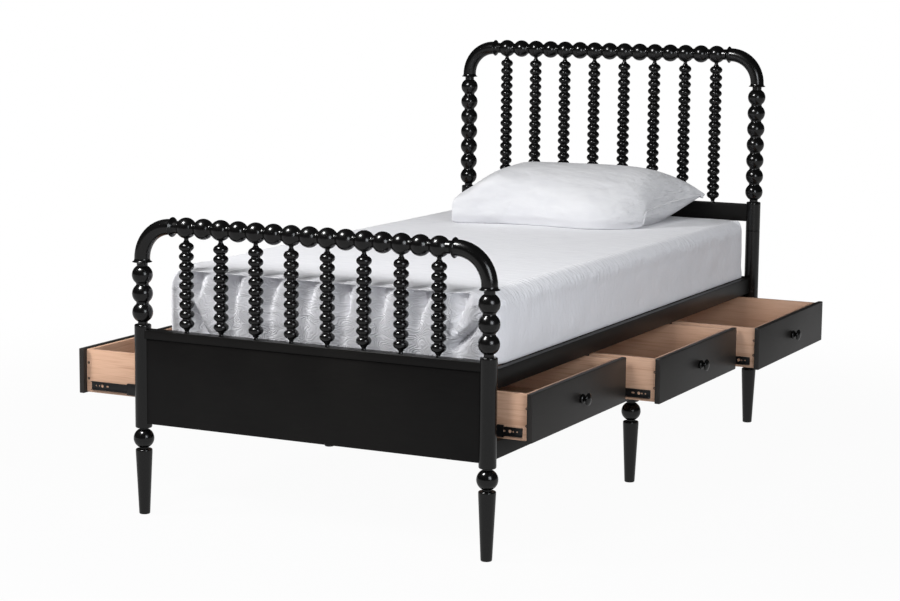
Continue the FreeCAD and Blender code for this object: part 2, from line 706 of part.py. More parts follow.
failed = [piece.Label for piece in doc.Objects if "Invalid" in piece.State or "Error" in piece.State]
failed += [piece.Label for piece in parts if piece.Shape.isNull() or not piece.Shape.isValid()]
if failed:
    raise RuntimeError("not built: " + ", ".join(failed))

os.makedirs("parts", exist_ok=True)
for piece in parts:
    piece.Shape.exportStep(f"parts/{piece.Label}.step")
print(len(parts), "sub-parts written")
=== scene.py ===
# %% [markdown]
# # A bead-turned platform bed
# This bed is a twin frame in black painted wood. Its posts, top rails and spindles are turned on a
# lathe into strings of balls, quarter-round elbows join the posts to the rails, and three drawers run
# out of each side on telescopic slides. A mattress in a quilted cover and a pillow lie on it.
# The construction model is the frame: everything here is built in its metres and on its bodies, so a
# new piece goes exactly where the solid says.

# %% The frame
import math
import random

import bpy
from mathutils import Matrix, Vector


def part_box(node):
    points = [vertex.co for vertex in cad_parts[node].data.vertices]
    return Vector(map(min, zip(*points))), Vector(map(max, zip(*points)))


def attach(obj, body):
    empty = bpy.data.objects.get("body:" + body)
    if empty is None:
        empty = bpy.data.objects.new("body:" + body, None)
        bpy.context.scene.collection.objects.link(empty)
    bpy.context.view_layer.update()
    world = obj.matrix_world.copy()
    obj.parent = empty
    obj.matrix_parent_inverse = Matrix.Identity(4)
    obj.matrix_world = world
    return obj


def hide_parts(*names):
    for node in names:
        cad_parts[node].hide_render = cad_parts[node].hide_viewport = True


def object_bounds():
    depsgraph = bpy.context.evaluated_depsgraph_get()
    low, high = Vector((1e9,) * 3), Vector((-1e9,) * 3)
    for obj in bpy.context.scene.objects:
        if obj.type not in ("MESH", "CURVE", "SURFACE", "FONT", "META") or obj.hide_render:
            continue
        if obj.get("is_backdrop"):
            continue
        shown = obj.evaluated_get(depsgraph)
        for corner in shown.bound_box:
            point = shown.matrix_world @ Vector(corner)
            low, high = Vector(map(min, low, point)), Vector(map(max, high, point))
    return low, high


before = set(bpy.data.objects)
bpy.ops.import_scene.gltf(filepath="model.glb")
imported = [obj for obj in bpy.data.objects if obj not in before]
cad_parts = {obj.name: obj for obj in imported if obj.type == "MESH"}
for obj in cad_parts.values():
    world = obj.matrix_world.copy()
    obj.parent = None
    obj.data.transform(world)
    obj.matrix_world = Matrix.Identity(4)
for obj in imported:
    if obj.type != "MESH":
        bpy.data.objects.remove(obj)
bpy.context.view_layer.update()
MM = 0.001

# %% [markdown]
# ## Working by hand, in code
# Every operator acts on what is selected, and the loaded frame is all selected. So each piece starts
# with a cleared selection, and its faces are chosen in code, by place or by direction. A finished
# piece keeps its object at the origin with its place in its mesh, as the frame's own nodes do, which
# lets a pattern on Object coordinates run over it without sliding.

# %% Helpers for pieces
def clear():
    """Object mode, with nothing selected."""
    if bpy.context.object and bpy.context.object.mode != "OBJECT":
        bpy.ops.object.mode_set(mode="OBJECT")
    bpy.ops.object.select_all(action="DESELECT")


def pick(*pieces):
    """Selects these pieces and makes the last one active."""
    clear()
    for piece in pieces:
        piece.select_set(True)
    bpy.context.view_layer.objects.active = pieces[-1]


def settle(piece):
    """Puts a piece's place, turn and scale into its mesh."""
    pick(piece)
    bpy.ops.object.transform_apply(location=True, rotation=True, scale=True)
    return piece


def apply(piece, kind, **settings):
    """Adds a modifier, sets it and applies it."""
    pick(piece)
    bpy.ops.object.modifier_add(type=kind)
    modifier = piece.modifiers[-1]
    for key, value in settings.items():
        setattr(modifier, key, value)
    bpy.ops.object.modifier_apply(modifier=modifier.name)


def copy(piece, name, move=(0, 0, 0), turn=0, axis="Z"):
    """A copy with a mesh of its own, turned about the origin and then moved."""
    pick(piece)
    bpy.ops.object.duplicate(linked=False)
    twin = bpy.context.object
    twin.name = name
    twin.rotation_euler["XYZ".index(axis)] = turn
    twin.location = move
    return settle(twin)


def join(name, *pieces):
    """Several meshes as one piece."""
    pick(*pieces)
    if len(pieces) > 1:
        bpy.ops.object.join()
    piece = bpy.context.object
    piece.name = name
    return piece


def smooth(piece, angle):
    """Smooth shading, apart from edges sharper than this many degrees."""
    pick(piece)
    bpy.ops.object.shade_smooth_by_angle(angle=math.radians(angle))
    return piece


def choose_edges(piece, wanted):
    """Edit mode, with only those edges selected whose two ends pass a test."""
    pick(piece)
    bpy.ops.object.mode_set(mode="EDIT")
    bpy.ops.mesh.select_mode(type="EDGE")
    bpy.ops.mesh.select_all(action="DESELECT")
    bpy.ops.object.mode_set(mode="OBJECT")
    for edge in piece.data.edges:
        edge.select = wanted(*(piece.data.vertices[end].co for end in edge.vertices))
    bpy.ops.object.mode_set(mode="EDIT")


def weld(gap):
    """From edit mode: merges points closer than this many mm, and turns all faces outwards."""
    bpy.ops.mesh.select_all(action="SELECT")
    bpy.ops.mesh.remove_doubles(threshold=gap * MM)
    bpy.ops.mesh.normals_make_consistent(inside=False)
    bpy.ops.object.mode_set(mode="OBJECT")

# %% [markdown]
# ## Colours and nodes
# Paint and cloth colours are picked on a screen, as sRGB hex values, but the renderer adds
# light in linear numbers, so one function turns the first into the second. A second small function
# adds a node with its settings and links, and it is all that the materials below need. Every pattern
# reads Object coordinates, which are metres here, so a scale is one over a real size.

# %% Helpers for materials
def srgb(code):
    """A hex colour as linear red, green, blue and alpha."""
    values = [int(code[place:place + 2], 16) / 255 for place in (1, 3, 5)]
    return tuple(v / 12.92 if v <= 0.04045 else ((v + 0.055) / 1.055) ** 2.4 for v in values) + (1,)


def material(name):
    """A fresh node material: its tree, its surface shader and its Object coordinates."""
    made = bpy.data.materials.new(name)
    made.use_nodes = True
    tree = made.node_tree
    place = tree.nodes.new("ShaderNodeTexCoord").outputs["Object"]
    return made, tree, tree.nodes["Principled BSDF"], place


def feed(tree, made, inputs):
    """Sets inputs of a node, each from a value, a socket or another node's first output."""
    for key, value in inputs.items():
        source = value.outputs[0] if isinstance(value, bpy.types.Node) else value
        if isinstance(source, bpy.types.NodeSocket):
            tree.links.new(source, made.inputs[key])
        else:
            made.inputs[key].default_value = source


def node(tree, kind, inputs=None, stops=(), **settings):
    """Adds one node with its settings, links and colour stops."""
    made = tree.nodes.new("ShaderNode" + kind)
    for key, value in settings.items():
        setattr(made, key, value)
    feed(tree, made, inputs or {})
    if stops:
        marks = made.color_ramp.elements
        while len(marks) < len(stops):
            marks.new(1.0)
        for mark, (place, code) in zip(marks, stops):
            mark.position = place
            mark.color = srgb(code)
    return made

# %% [markdown]
# ## Black lacquer on wood
# The frame is rubberwood sprayed with several coats of black lacquer and rubbed to a satin. Lacquer
# has an IOR near 1.5. What the eye gets is a near-black with a soft white highlight, a slight orange
# peel from the spray gun, and the open pores of the wood telegraphing through as fine lines. The
# lines run along the grain, so one material is made for each direction of the boards. The turned
# work is polished bright. The boards are rubbed dull, so they mirror less. The drawer fronts are
# rubbed most, and their paint is given a lighter, dark warm grey colour: painted light, for the
# light that falls on the fronts from the right.

# %% Black lacquer
PORE_SPACING = 2.2 * MM       # open pores, drawn a little coarse so that they show
PORE_LENGTH = 60 * MM
PEEL_SIZE = 3.5 * MM          # orange peel of the sprayed coat
CLOUD_SIZE = 300 * MM         # slow change in how well the coat was rubbed


def lacquer(name, grain, dark, light, rough, shine, relief=0.5):
    """Satin black lacquer, with the wood's pores along one axis."""
    made, tree, shader, place = material(name)
    scale = [1 / PORE_SPACING] * 3
    scale["XYZ".index(grain)] = 1 / PORE_LENGTH
    pores = node(tree, "TexNoise", {"Vector": node(tree, "Mapping", {"Vector": place, "Scale": scale}),
                                    "Scale": 1.0, "Detail": 2.0})
    peel = node(tree, "TexNoise", {"Vector": place, "Scale": 1 / PEEL_SIZE, "Detail": 1.0})
    cloud = node(tree, "TexNoise", {"Vector": place, "Scale": 1 / CLOUD_SIZE, "Detail": 4.0})
    shade = node(tree, "Math", {0: pores, 1: 0.4, 2: cloud}, operation="MULTIPLY_ADD")
    colour = node(tree, "ValToRGB", {"Fac": shade}, stops=[(0.5, dark), (0.9, light)])
    gloss = node(tree, "MapRange", {"Value": cloud, "From Min": 0.3, "From Max": 0.7,
                                    "To Min": rough - 0.03, "To Max": rough + 0.05})
    grain_bump = node(tree, "Bump", {"Height": pores, "Distance": 0.10 * MM, "Strength": relief})
    peel_bump = node(tree, "Bump", {"Height": peel, "Distance": 0.05 * MM, "Strength": relief,
                                    "Normal": grain_bump})
    feed(tree, shader, {"Base Color": colour, "Roughness": gloss, "Normal": peel_bump,
                        "IOR": 1.5, "Specular IOR Level": shine})
    return made


lacquer_x = lacquer("black lacquer, grain across", "X", "#0C0B0B", "#131211", 0.36, 0.18)
lacquer_y = lacquer("black lacquer, grain lengthways", "Y", "#0F0E0E", "#171615", 0.36, 0.18)
lacquer_turned = lacquer("black lacquer, turned work", "Z", "#070707", "#0B0A0A", 0.2, 0.5, relief=0.1)
# The fronts' lighter grey is painted light on the same black paint.
lacquer_front_painted_light = lacquer("black lacquer, drawer fronts", "Y", "#242221", "#2C2A28", 0.42, 0.3)
print("lacquers:", lacquer_x.name, lacquer_y.name, lacquer_turned.name, lacquer_front_painted_light.name, sep="\n  ")

# %% [markdown]
# ## Drawer wood, slat wood, steel and nylon
# The drawer boxes are clear-coated alder boards, warm pink-brown, with long fine grain. The grain is
# noise stretched far along the board, and darkened in streaks. The slats and inner supports are
# pine, given a dark brown that is painted shade, for the shade under the mattress. The slides are
# steel sheet, pressed to shape and dipped in black: a smooth semi-gloss coat. Their screws are
# blackened, their balls are bright, and the buffers are white nylon.

# %% Woods, steel and nylon
def bare_wood(name, grain, light, dark, line=1.6 * MM, rough=0.5):
    """Clear-coated wood with grain along one axis, its lines drawn just coarse enough to show."""
    made, tree, shader, place = material(name)
    fine = [1 / line] * 3
    fine["XYZ".index(grain)] = 1 / (line * 60)
    broad = [1 / (line * 9)] * 3
    broad["XYZ".index(grain)] = 1 / (line * 220)
    lines = node(tree, "TexNoise", {"Vector": node(tree, "Mapping", {"Vector": place, "Scale": fine}),
                                    "Scale": 1.0, "Detail": 3.0})
    bands = node(tree, "TexNoise", {"Vector": node(tree, "Mapping", {"Vector": place, "Scale": broad}),
                                    "Scale": 1.0, "Detail": 2.0})
    half = node(tree, "Math", {0: lines, 1: 0.45}, operation="MULTIPLY")
    both = node(tree, "Math", {0: bands, 1: 0.55, 2: half}, operation="MULTIPLY_ADD")
    colour = node(tree, "ValToRGB", {"Fac": both}, stops=[(0.36, dark), (0.5, light), (0.68, dark)])
    gloss = node(tree, "MapRange", {"Value": lines, "To Min": rough - 0.08, "To Max": rough + 0.1})
    bump = node(tree, "Bump", {"Height": lines, "Distance": 0.12 * MM, "Strength": 0.5})
    feed(tree, shader, {"Base Color": colour, "Roughness": gloss, "Normal": bump, "IOR": 1.5})
    return made


ALDER, ALDER_DARK = "#CDA78D", "#B58D73"
alder_x = bare_wood("alder, grain across", "X", ALDER, ALDER_DARK)
alder_y = bare_wood("alder, grain lengthways", "Y", ALDER, ALDER_DARK)
alder_end = bare_wood("alder, end grain", "Z", "#DDB79E", "#C99F86", line=0.9 * MM, rough=0.62)
# The dark brown of the slats and bearers is painted shade, for the shade under the mattress.
pine_x_painted_shade = bare_wood("pine slats in painted shade", "X", "#3A2E24", "#2C231B", line=3.0 * MM, rough=0.6)
pine_y_painted_shade = bare_wood("pine bearers in painted shade", "Y", "#3A2E24", "#2C231B", line=3.0 * MM, rough=0.6)


def hard_part(name, dark, light, grain, rough, ior=1.5, metal=0.0):
    """A coated, bright or moulded hard part, whose tone and gloss change a little over a grain size."""
    made, tree, shader, place = material(name)
    flow = node(tree, "TexNoise", {"Vector": place, "Scale": 1 / grain, "Detail": 2.0})
    colour = node(tree, "ValToRGB", {"Fac": flow}, stops=[(0.3, dark), (0.75, light)])
    gloss = node(tree, "MapRange", {"Value": flow, "To Min": rough - 0.05, "To Max": rough + 0.08})
    bump = node(tree, "Bump", {"Height": flow, "Distance": 0.05 * MM, "Strength": 0.3})
    feed(tree, shader, {"Base Color": colour, "Roughness": gloss, "Normal": bump,
                        "IOR": ior, "Metallic": metal})
    return made


slide_black = hard_part("black dipped steel", "#0B0B0C", "#1A1A1B", 14 * MM, 0.28)
screw_black = hard_part("blackened screws", "#121213", "#1E1D1D", 4 * MM, 0.4)
steel_ball = hard_part("bright steel balls", "#A9AAAD", "#C6C7CA", 2 * MM, 0.2, metal=1.0)
nylon = hard_part("white nylon buffer", "#D8D9DA", "#E6E7E8", 5 * MM, 0.35, ior=1.53)


def paint(piece, *finishes):
    """Gives a piece its finishes, in the order of its slots."""
    piece.data.materials.clear()
    for finish in finishes:
        piece.data.materials.append(finish)
    return piece

# %% [markdown]
# ## The lathe
# A turned piece is one outline spun about its axis, just as the wood is. We start from a plane merged
# down to one vertex, extrude that vertex from point to point along the outline, and let Spin sweep it
# round. The outline starts and ends on the axis, so the ends close when the doubles are merged.
# A ball is a true arc of a sphere down to its neck, in twelve steps, which is enough for a ball that
# is some twenty pixels wide. The many small beads are flatter ovals and have fewer.

# %% Helpers for the lathe
DOUBLES = 0.002               # in mm: two points closer than this are one


def lathe(name, outline, sides):
    """Spins an outline of (height, radius) points, in mm, about Z."""
    clear()
    bpy.ops.mesh.primitive_plane_add(size=1, location=(0, 0, 0))
    piece = bpy.context.object
    piece.name = name
    bpy.ops.object.mode_set(mode="EDIT")
    bpy.ops.mesh.select_all(action="SELECT")
    bpy.ops.mesh.merge(type="CENTER")
    height, radius = outline[0]
    bpy.ops.transform.translate(value=(radius * MM, 0, height * MM))
    for before, after in zip(outline, outline[1:]):
        step = ((after[1] - before[1]) * MM, 0, (after[0] - before[0]) * MM)
        bpy.ops.mesh.extrude_region_move(TRANSFORM_OT_translate={"value": step})
    bpy.ops.mesh.select_all(action="SELECT")
    bpy.ops.mesh.spin(steps=sides, angle=2 * math.pi, center=(0, 0, 0), axis=(0, 0, 1))
    weld(DOUBLES)
    return smooth(piece, 40)


def bead(middle, size, low, high, steps=4):
    """Outline of an oval bead. Low and high are its half height and neck below and above its middle."""
    sides = []
    for (half, neck), way in ((low, -1), (high, 1)):
        reach = math.acos(neck / size)
        turns = [reach * place / steps for place in range(steps + 1)]
        sides.append([(middle + way * half * math.sin(turn), size / 2 * math.cos(turn))
                      for turn in turns])
    return sides[0][::-1] + sides[1][1:]


def ball(middle, low_neck, high_neck):
    """Outline of one large ball, from neck to neck."""
    return bead(middle, BALL, (BALL / 2, low_neck), (BALL / 2, high_neck), steps=6)


def corner(height, radius, rise, run, steps=4):
    """A rounded shoulder from the given point, over a rise in height and a run in radius."""
    points = []
    for place in range(steps + 1):
        turn = math.pi / 2 * place / steps
        if run < 0:
            points.append((height + rise * math.sin(turn), radius + run * (1 - math.cos(turn))))
        else:
            points.append((height + rise * (1 - math.cos(turn)), radius + run * math.sin(turn)))
    return points

# %% [markdown]
# ## Posts and legs
# Each foot post is one turning: a leg that tapers to the floor, a ball, a plain length that the
# boards are housed in, and a short string of balls under the elbow. A head post is two turnings that
# meet at a fine chamfered joint behind the mattress. The middle legs are the same leg, cut off under
# the bottom rail. The plain length has softly rounded shoulders next to the thin necks.

# %% Outlines of posts and legs
BALL, POST_NECK, RAIL_NECK = 55.6, 35, 34                   # diameters of a ball and of the necks between
PLAIN, SHOULDER, LEG_NECK, FLOOR_END = 45, 39, 24, 29.5     # other diameters
LOW_NECK, TOP_NECK = 26, 29                                 # diameters under and over a string of balls
SHOULDER_RISE, SHOULDER_GAP, COLLAR = 3.5, 4, 9             # a shoulder, its gap to the ball, its straight
FLOOR_ROUND, CHAMFER = 3, 1.2
FOOT_PITCH, HEAD_PITCH, RAIL_PITCH = 50.4, 50.6, 53.1       # from ball to ball
POST_X, POST_Y, MIDDLE_LEG_X = 511, 985, 497                # from the middle of the bed
LEG_BALL, MIDDLE_LEG_TOP, JOINT = 208, 250, 630             # heights
FOOT_RAIL, HEAD_RAIL = 783.5, 1191                          # heights of the top rails' middles
BEND, STUB, NECK = 90, 11, 7                                # the elbow's radius, its flange, a plain neck
HOLLOW = 1.1                                                # how deep a neck is hollowed


def leg_outline():
    """Leg from the floor to the rounded shoulder above its ball."""
    reach = math.sqrt((BALL / 2) ** 2 - (LEG_NECK / 2) ** 2)
    taper_top, shoulder = LEG_BALL - reach - SHOULDER_GAP, LEG_BALL + reach + SHOULDER_GAP
    outline = [(0, 0)] + corner(0, FLOOR_END / 2 - FLOOR_ROUND, FLOOR_ROUND, FLOOR_ROUND)
    outline += [(taper_top - COLLAR, PLAIN / 2)]
    outline += corner(taper_top - SHOULDER_RISE, PLAIN / 2, SHOULDER_RISE, (SHOULDER - PLAIN) / 2)
    outline += [(taper_top, LEG_NECK / 2 + 1), (taper_top + 1, LEG_NECK / 2)]
    outline += ball(LEG_BALL, LEG_NECK, LEG_NECK)
    outline += [(shoulder - 1, LEG_NECK / 2), (shoulder, LEG_NECK / 2 + 1)]
    outline += corner(shoulder, SHOULDER / 2, SHOULDER_RISE, (PLAIN - SHOULDER) / 2)
    return outline


def string_of_balls(start, pitch, necks):
    """Balls at an even pitch from a height on, with a hollow neck between each two."""
    outline = []
    for place, (low, high) in enumerate(zip(necks, necks[1:])):
        outline += ball(start + pitch * (place + 0.5), low, high)
        if place < len(necks) - 2:
            outline += [(start + pitch * (place + 1), high / 2 - HOLLOW)]
    return outline


def top_outline(rail, count, pitch):
    """Rounded shoulder, neck and balls under the elbow."""
    top = rail - BEND - STUB
    start = top - NECK - count * pitch
    shoulder = start - NECK
    outline = [(shoulder - COLLAR, PLAIN / 2)]
    outline += corner(shoulder - SHOULDER_RISE, PLAIN / 2, SHOULDER_RISE, (SHOULDER - PLAIN) / 2)
    outline += [(shoulder, LOW_NECK / 2 + 1), (shoulder + 1, LOW_NECK / 2)]
    outline += string_of_balls(start, pitch, [LOW_NECK] + [POST_NECK] * (count - 1) + [TOP_NECK])
    return outline + [(top, TOP_NECK / 2), (top, 0)]

# %% [markdown]
# Each kind of post is turned once. Both sides of the bed get a copy with a mesh of its own, and the
# model is then thrown away, so that nothing is left over beside the bed.

# %% Turn the posts and put them in place
ROUND = 40                                                  # points round a large turning
joint_below = [(JOINT - CHAMFER, PLAIN / 2), (JOINT, PLAIN / 2 - CHAMFER), (JOINT, 0)]
joint_above = [(JOINT, 0), (JOINT, PLAIN / 2 - CHAMFER), (JOINT + CHAMFER, PLAIN / 2)]
foot_post = lathe("foot_post", leg_outline() + top_outline(FOOT_RAIL, 3, FOOT_PITCH), ROUND)
lower_post = lathe("lower_post", leg_outline() + joint_below, ROUND)
upper_post = lathe("upper_post", joint_above + top_outline(HEAD_RAIL, 7, HEAD_PITCH), ROUND)
middle_leg = lathe("middle_leg", leg_outline() + [(MIDDLE_LEG_TOP, PLAIN / 2), (MIDDLE_LEG_TOP, 0)], ROUND)
print("foot post:", len(foot_post.data.polygons), "faces")


def place_pair(model, name, node_name, x, y):
    """Puts a copy of a post on both sides of the bed, in place of its solids."""
    for side, sign in (("right", 1), ("left", -1)):
        piece = paint(copy(model, f"{name}_{side}", (sign * x * MM, y * MM, 0)), lacquer_turned)
        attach(piece, "frame")
        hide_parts(f"{node_name}_{side}")
    bpy.data.objects.remove(model)


place_pair(foot_post, "turned_foot_post", "footboard_post", POST_X, -POST_Y)
place_pair(lower_post, "turned_lower_post", "headboard_lower_post", POST_X, POST_Y)
place_pair(upper_post, "turned_upper_post", "headboard_upper_post", POST_X, POST_Y)
place_pair(middle_leg, "turned_middle_leg", "middle_leg", MIDDLE_LEG_X, 0)

# %% [markdown]
# ## Top rails, spindles and elbows
# The top rails are strings of fifteen balls, turned like the posts and laid on their side. Under every
# other ball stands a spindle of small flattened beads with a thin tip at each end. The elbows are
# bent tube with a thin saucer at each end, so they aren't turned: a circle is spun a quarter round
# beside its axis, and the two saucers come off the lathe.

# %% Beads, tips and top rails
RAIL_BALLS, SPINDLES = 15, 8
RAIL_HALF = RAIL_BALLS * RAIL_PITCH / 2 + NECK
rail_balls = string_of_balls(NECK - RAIL_HALF, RAIL_PITCH, [RAIL_NECK] * (RAIL_BALLS + 1))
rail = lathe("rail", [(-RAIL_HALF, 0), (-RAIL_HALF, RAIL_NECK / 2)] + rail_balls
             + [(RAIL_HALF, RAIL_NECK / 2), (RAIL_HALF, 0)], ROUND)
lying = copy(rail, "lying", turn=math.pi / 2, axis="Y")
print("rail of", RAIL_BALLS, "balls,", round(2 * RAIL_HALF, 1), "mm long")

BEAD, BEAD_NECK, TIP_NECK = 40.3, 25, 18            # diameters of a bead and of the necks beside it
BEAD_HALF, END_HALF, BEAD_END = 13.4, 14, 24        # half a bead's height, and the last one from the end
BEAD_GROOVE, BEAD_SEAT, BEAD_ROUND = 0.6, 1.5, 20   # groove, reach into the rail, points round a bead
# The tip's outline, from the board or rail to the first bead.
TIP = [(0, 7.2), (1.5, 6.4), (3.5, 5.8), (5.5, 5.8), (7.0, 6.5), (8.6, 7.7), (10.2, 8.6)]


def spindle_outline(length, count):
    """Thin flared tip, beads at an even pitch with a groove between, thin tip."""
    pitch = (length - 2 * BEAD_END) / (count - 1)
    outline = [(0, 0)] + TIP
    for place in range(count):
        low = (END_HALF, TIP_NECK) if place == 0 else (BEAD_HALF, BEAD_NECK)
        high = (END_HALF, TIP_NECK) if place == count - 1 else (BEAD_HALF, BEAD_NECK)
        outline += bead(BEAD_END + pitch * place, BEAD, low, high)
        if place < count - 1:
            outline += [(BEAD_END + pitch * (place + 0.5), BEAD_NECK / 2 - BEAD_GROOVE)]
    return outline + [(length - height, radius) for height, radius in reversed(TIP)] + [(length, 0)]

# %% [markdown]
# An elbow could also be a curve with a round profile. The spin was chosen because its rings end
# exactly square on the post and on the rail, where the flanges sit.

# %% Bend the elbows
TUBE, RAIL_STUB, BEND_STEPS = 21, 15, 14
# The flanges at an elbow's ends: from the neck out to a thin rim, and a cove up to the tube.
POST_SAUCER = [(0, 0), (0, 14.5), (0.7, 18.5), (1.6, 24.2), (2.3, 26.3), (3.0, 26.5), (3.8, 25.8),
               (4.8, 23.4), (6.8, 21.8), (STUB, TUBE), (STUB, 0)]
RAIL_SAUCER = [(0, 0), (0, 17), (3, 19), (6.5, 22.5), (8.6, 26), (9.5, 26.5), (10.4, 26),
               (11.2, 23.6), (12.6, 21.8), (RAIL_STUB, TUBE), (RAIL_STUB, 0)]


def elbow(name):
    """Elbow from the top of a post, at the origin, up and over towards +X."""
    clear()
    bpy.ops.mesh.primitive_circle_add(vertices=ROUND, radius=TUBE * MM, location=(0, 0, STUB * MM))
    tube = bpy.context.object
    bpy.ops.object.mode_set(mode="EDIT")
    bpy.ops.mesh.select_all(action="SELECT")
    bpy.ops.mesh.spin(steps=BEND_STEPS, angle=math.pi / 2, center=(BEND * MM, 0, STUB * MM),
                      axis=(0, -1, 0))
    reach = POST_X - RAIL_HALF - BEND
    bpy.ops.mesh.extrude_region_move(TRANSFORM_OT_translate={"value": ((reach - STUB) * MM, 0, 0)})
    bpy.ops.mesh.select_all(action="SELECT")
    bpy.ops.mesh.remove_doubles(threshold=DOUBLES * MM)
    bpy.ops.mesh.select_non_manifold()
    bpy.ops.mesh.fill_holes(sides=0)
    weld(DOUBLES)
    settle(tube)
    low = lathe("low", POST_SAUCER, ROUND)
    flat = lathe("flat", RAIL_SAUCER, ROUND)
    far = copy(flat, "far", ((BEND + reach) * MM, 0, (STUB + BEND) * MM), -math.pi / 2, "Y")
    bpy.data.objects.remove(flat)
    return smooth(join(name, low, far, tube), 40)

# %% [markdown]
# The two boards differ only in height and in the number of beads, so one loop dresses both.

# %% Put the turnings and elbows of both boards in place
bend = elbow("bend")
FOOT_BASE, FOOT_BEADS, HEAD_BASE, HEAD_BEADS = 505, 9, 714, 17      # the spindles' foot, beads in each
for bed_end, y, height, base, beads in (("footboard", -POST_Y, FOOT_RAIL, FOOT_BASE, FOOT_BEADS),
                                        ("headboard", POST_Y, HEAD_RAIL, HEAD_BASE, HEAD_BEADS)):
    top_rail = copy(lying, f"turned_{bed_end}_rail", (0, y * MM, height * MM))
    stick = lathe("stick", spindle_outline(height - BALL / 2 + BEAD_SEAT - base, beads), BEAD_ROUND)
    sticks = []
    for place in range(SPINDLES):
        x = RAIL_PITCH * (2 * place + 1 - SPINDLES)
        sticks.append(copy(stick, f"stick_{place}", (x * MM, y * MM, base * MM)))
    bpy.data.objects.remove(stick)
    spindles = join(f"turned_{bed_end}_spindles", *sticks)
    top = (height - BEND - STUB) * MM
    left = copy(bend, "left", (-POST_X * MM, y * MM, top))
    right = copy(bend, "right", (POST_X * MM, y * MM, top), math.pi)
    elbows = join(f"bent_{bed_end}_elbows", left, right)
    for piece, replaced in ((top_rail, "bead_rail"), (spindles, "spindles"), (elbows, "elbows")):
        paint(piece, lacquer_turned)
        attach(piece, "frame")
        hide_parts(f"{bed_end}_{replaced}")
    print(bed_end, "rail, spindles and elbows in place")
for model in (rail, lying, bend):
    bpy.data.objects.remove(model)

# %% [markdown]
# ## Boards
# The rails and panels are flat boards, planed and sanded, with their edges eased by a couple of
# strokes so that the lacquer holds. A cube is the start: it takes the size of the solid that it
# stands for, and a bevel eases all of its edges. That narrow round is what catches the light.

# %% Boards
def board(name, low, high, ease, segments=3):
    """A board between two corners, in metres, with eased edges."""
    clear()
    middle = [(a + b) / 2 for a, b in zip(low, high)]
    bpy.ops.mesh.primitive_cube_add(size=1, location=middle)
    piece = bpy.context.object
    piece.name = name
    piece.scale = [b - a for a, b in zip(low, high)]
    settle(piece)
    apply(piece, "BEVEL", width=ease * MM, segments=segments, limit_method="NONE")
    return smooth(piece, 60)


def stand_in(node_name, name, finish, ease, body="frame"):
    """A board with eased edges in place of a flat node."""
    low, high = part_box(node_name)
    piece = paint(board(name, low, high, ease), finish)
    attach(piece, body)
    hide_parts(node_name)
    print(name, [round((b - a) / MM, 1) for a, b in zip(low, high)], "mm")


for node_name, name, finish, ease in (("footboard_cap_rail", "eased_foot_cap", lacquer_x, 2.0),
                                      ("footboard_panel", "eased_foot_panel", lacquer_x, 1.5),
                                      ("headboard_cross_rail", "eased_head_cross_rail", lacquer_x, 2.0),
                                      ("headboard_end_rail", "eased_head_end_rail", lacquer_x, 2.0),
                                      ("side_rail_right", "eased_side_rail_right", lacquer_y, 2.0),
                                      ("side_rail_left", "eased_side_rail_left", lacquer_y, 2.0),
                                      ("bottom_rail_right", "eased_bottom_rail_right", lacquer_y, 1.5),
                                      ("bottom_rail_left", "eased_bottom_rail_left", lacquer_y, 1.5)):
    stand_in(node_name, name, finish, ease)

# %% [markdown]
# ## Kept supports
# The slats, their ledges, the centre beam, the partitions and the fixed slides are simple sections and
# the solids already have their true shape. They keep their nodes and get only a finish.

# %% Kept supports
for node_name, finish in (("slats", pine_x_painted_shade), ("slat_ledges", pine_y_painted_shade), ("centre_beam", pine_y_painted_shade),
                          ("partitions", lacquer_x), ("fixed_slides", slide_black)):
    paint(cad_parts[node_name], finish)
    print(node_name, "keeps its solid, in", finish.name)

# %% [markdown]
# ## Drawers
# A drawer front is a plain slab with a knob, screwed to the box behind it. The box is four boards with
# a thin floor in a groove: the sides run past the front and back boards, so their end grain shows
# at the corners, and two dark screws hold each corner at the front. All six drawers are alike. So one
# is modelled at the middle of the bed, shut and facing right, and each drawer is a copy, pushed along
# to its bay, turned round for the left side and pulled out as far as its solid stands.

# %% One drawer box
FACE, FRONT_THICK, BOX_DEPTH, WALL = 512, 15, 440, 12
BOX_LOW, BOX_HIGH, BOX_HALF = 302, 421, 292.5
FLOOR_LIFT, FLOOR_THICK, GROOVE = 8, 6, 4
BOX_EASE, FLOOR_EASE, SHORT = 1.0, 0.3, 0.1     # the end boards stop a hair short of the side boards' ends
BOX_FRONT = FACE - FRONT_THICK
BOX_BACK = BOX_FRONT - BOX_DEPTH
PITCH = 630                                     # from drawer to drawer along the bed
KNOB_HEIGHT, KNOB_ROUND = 362, 28
SCREW_HEIGHTS, SCREW_INSET, SCREW_ROUND = (384, 340), 6.5, 14


def board_mm(name, low, high, ease):
    """A board between two corners given in mm."""
    return board(name, [value * MM for value in low], [value * MM for value in high], ease, segments=2)


def end_grain(piece, axis):
    """Gives the faces across a board's length the second finish."""
    for face in piece.data.polygons:
        if abs(face.normal["XYZ".index(axis)]) > 0.9:
            face.material_index = 1
    return piece


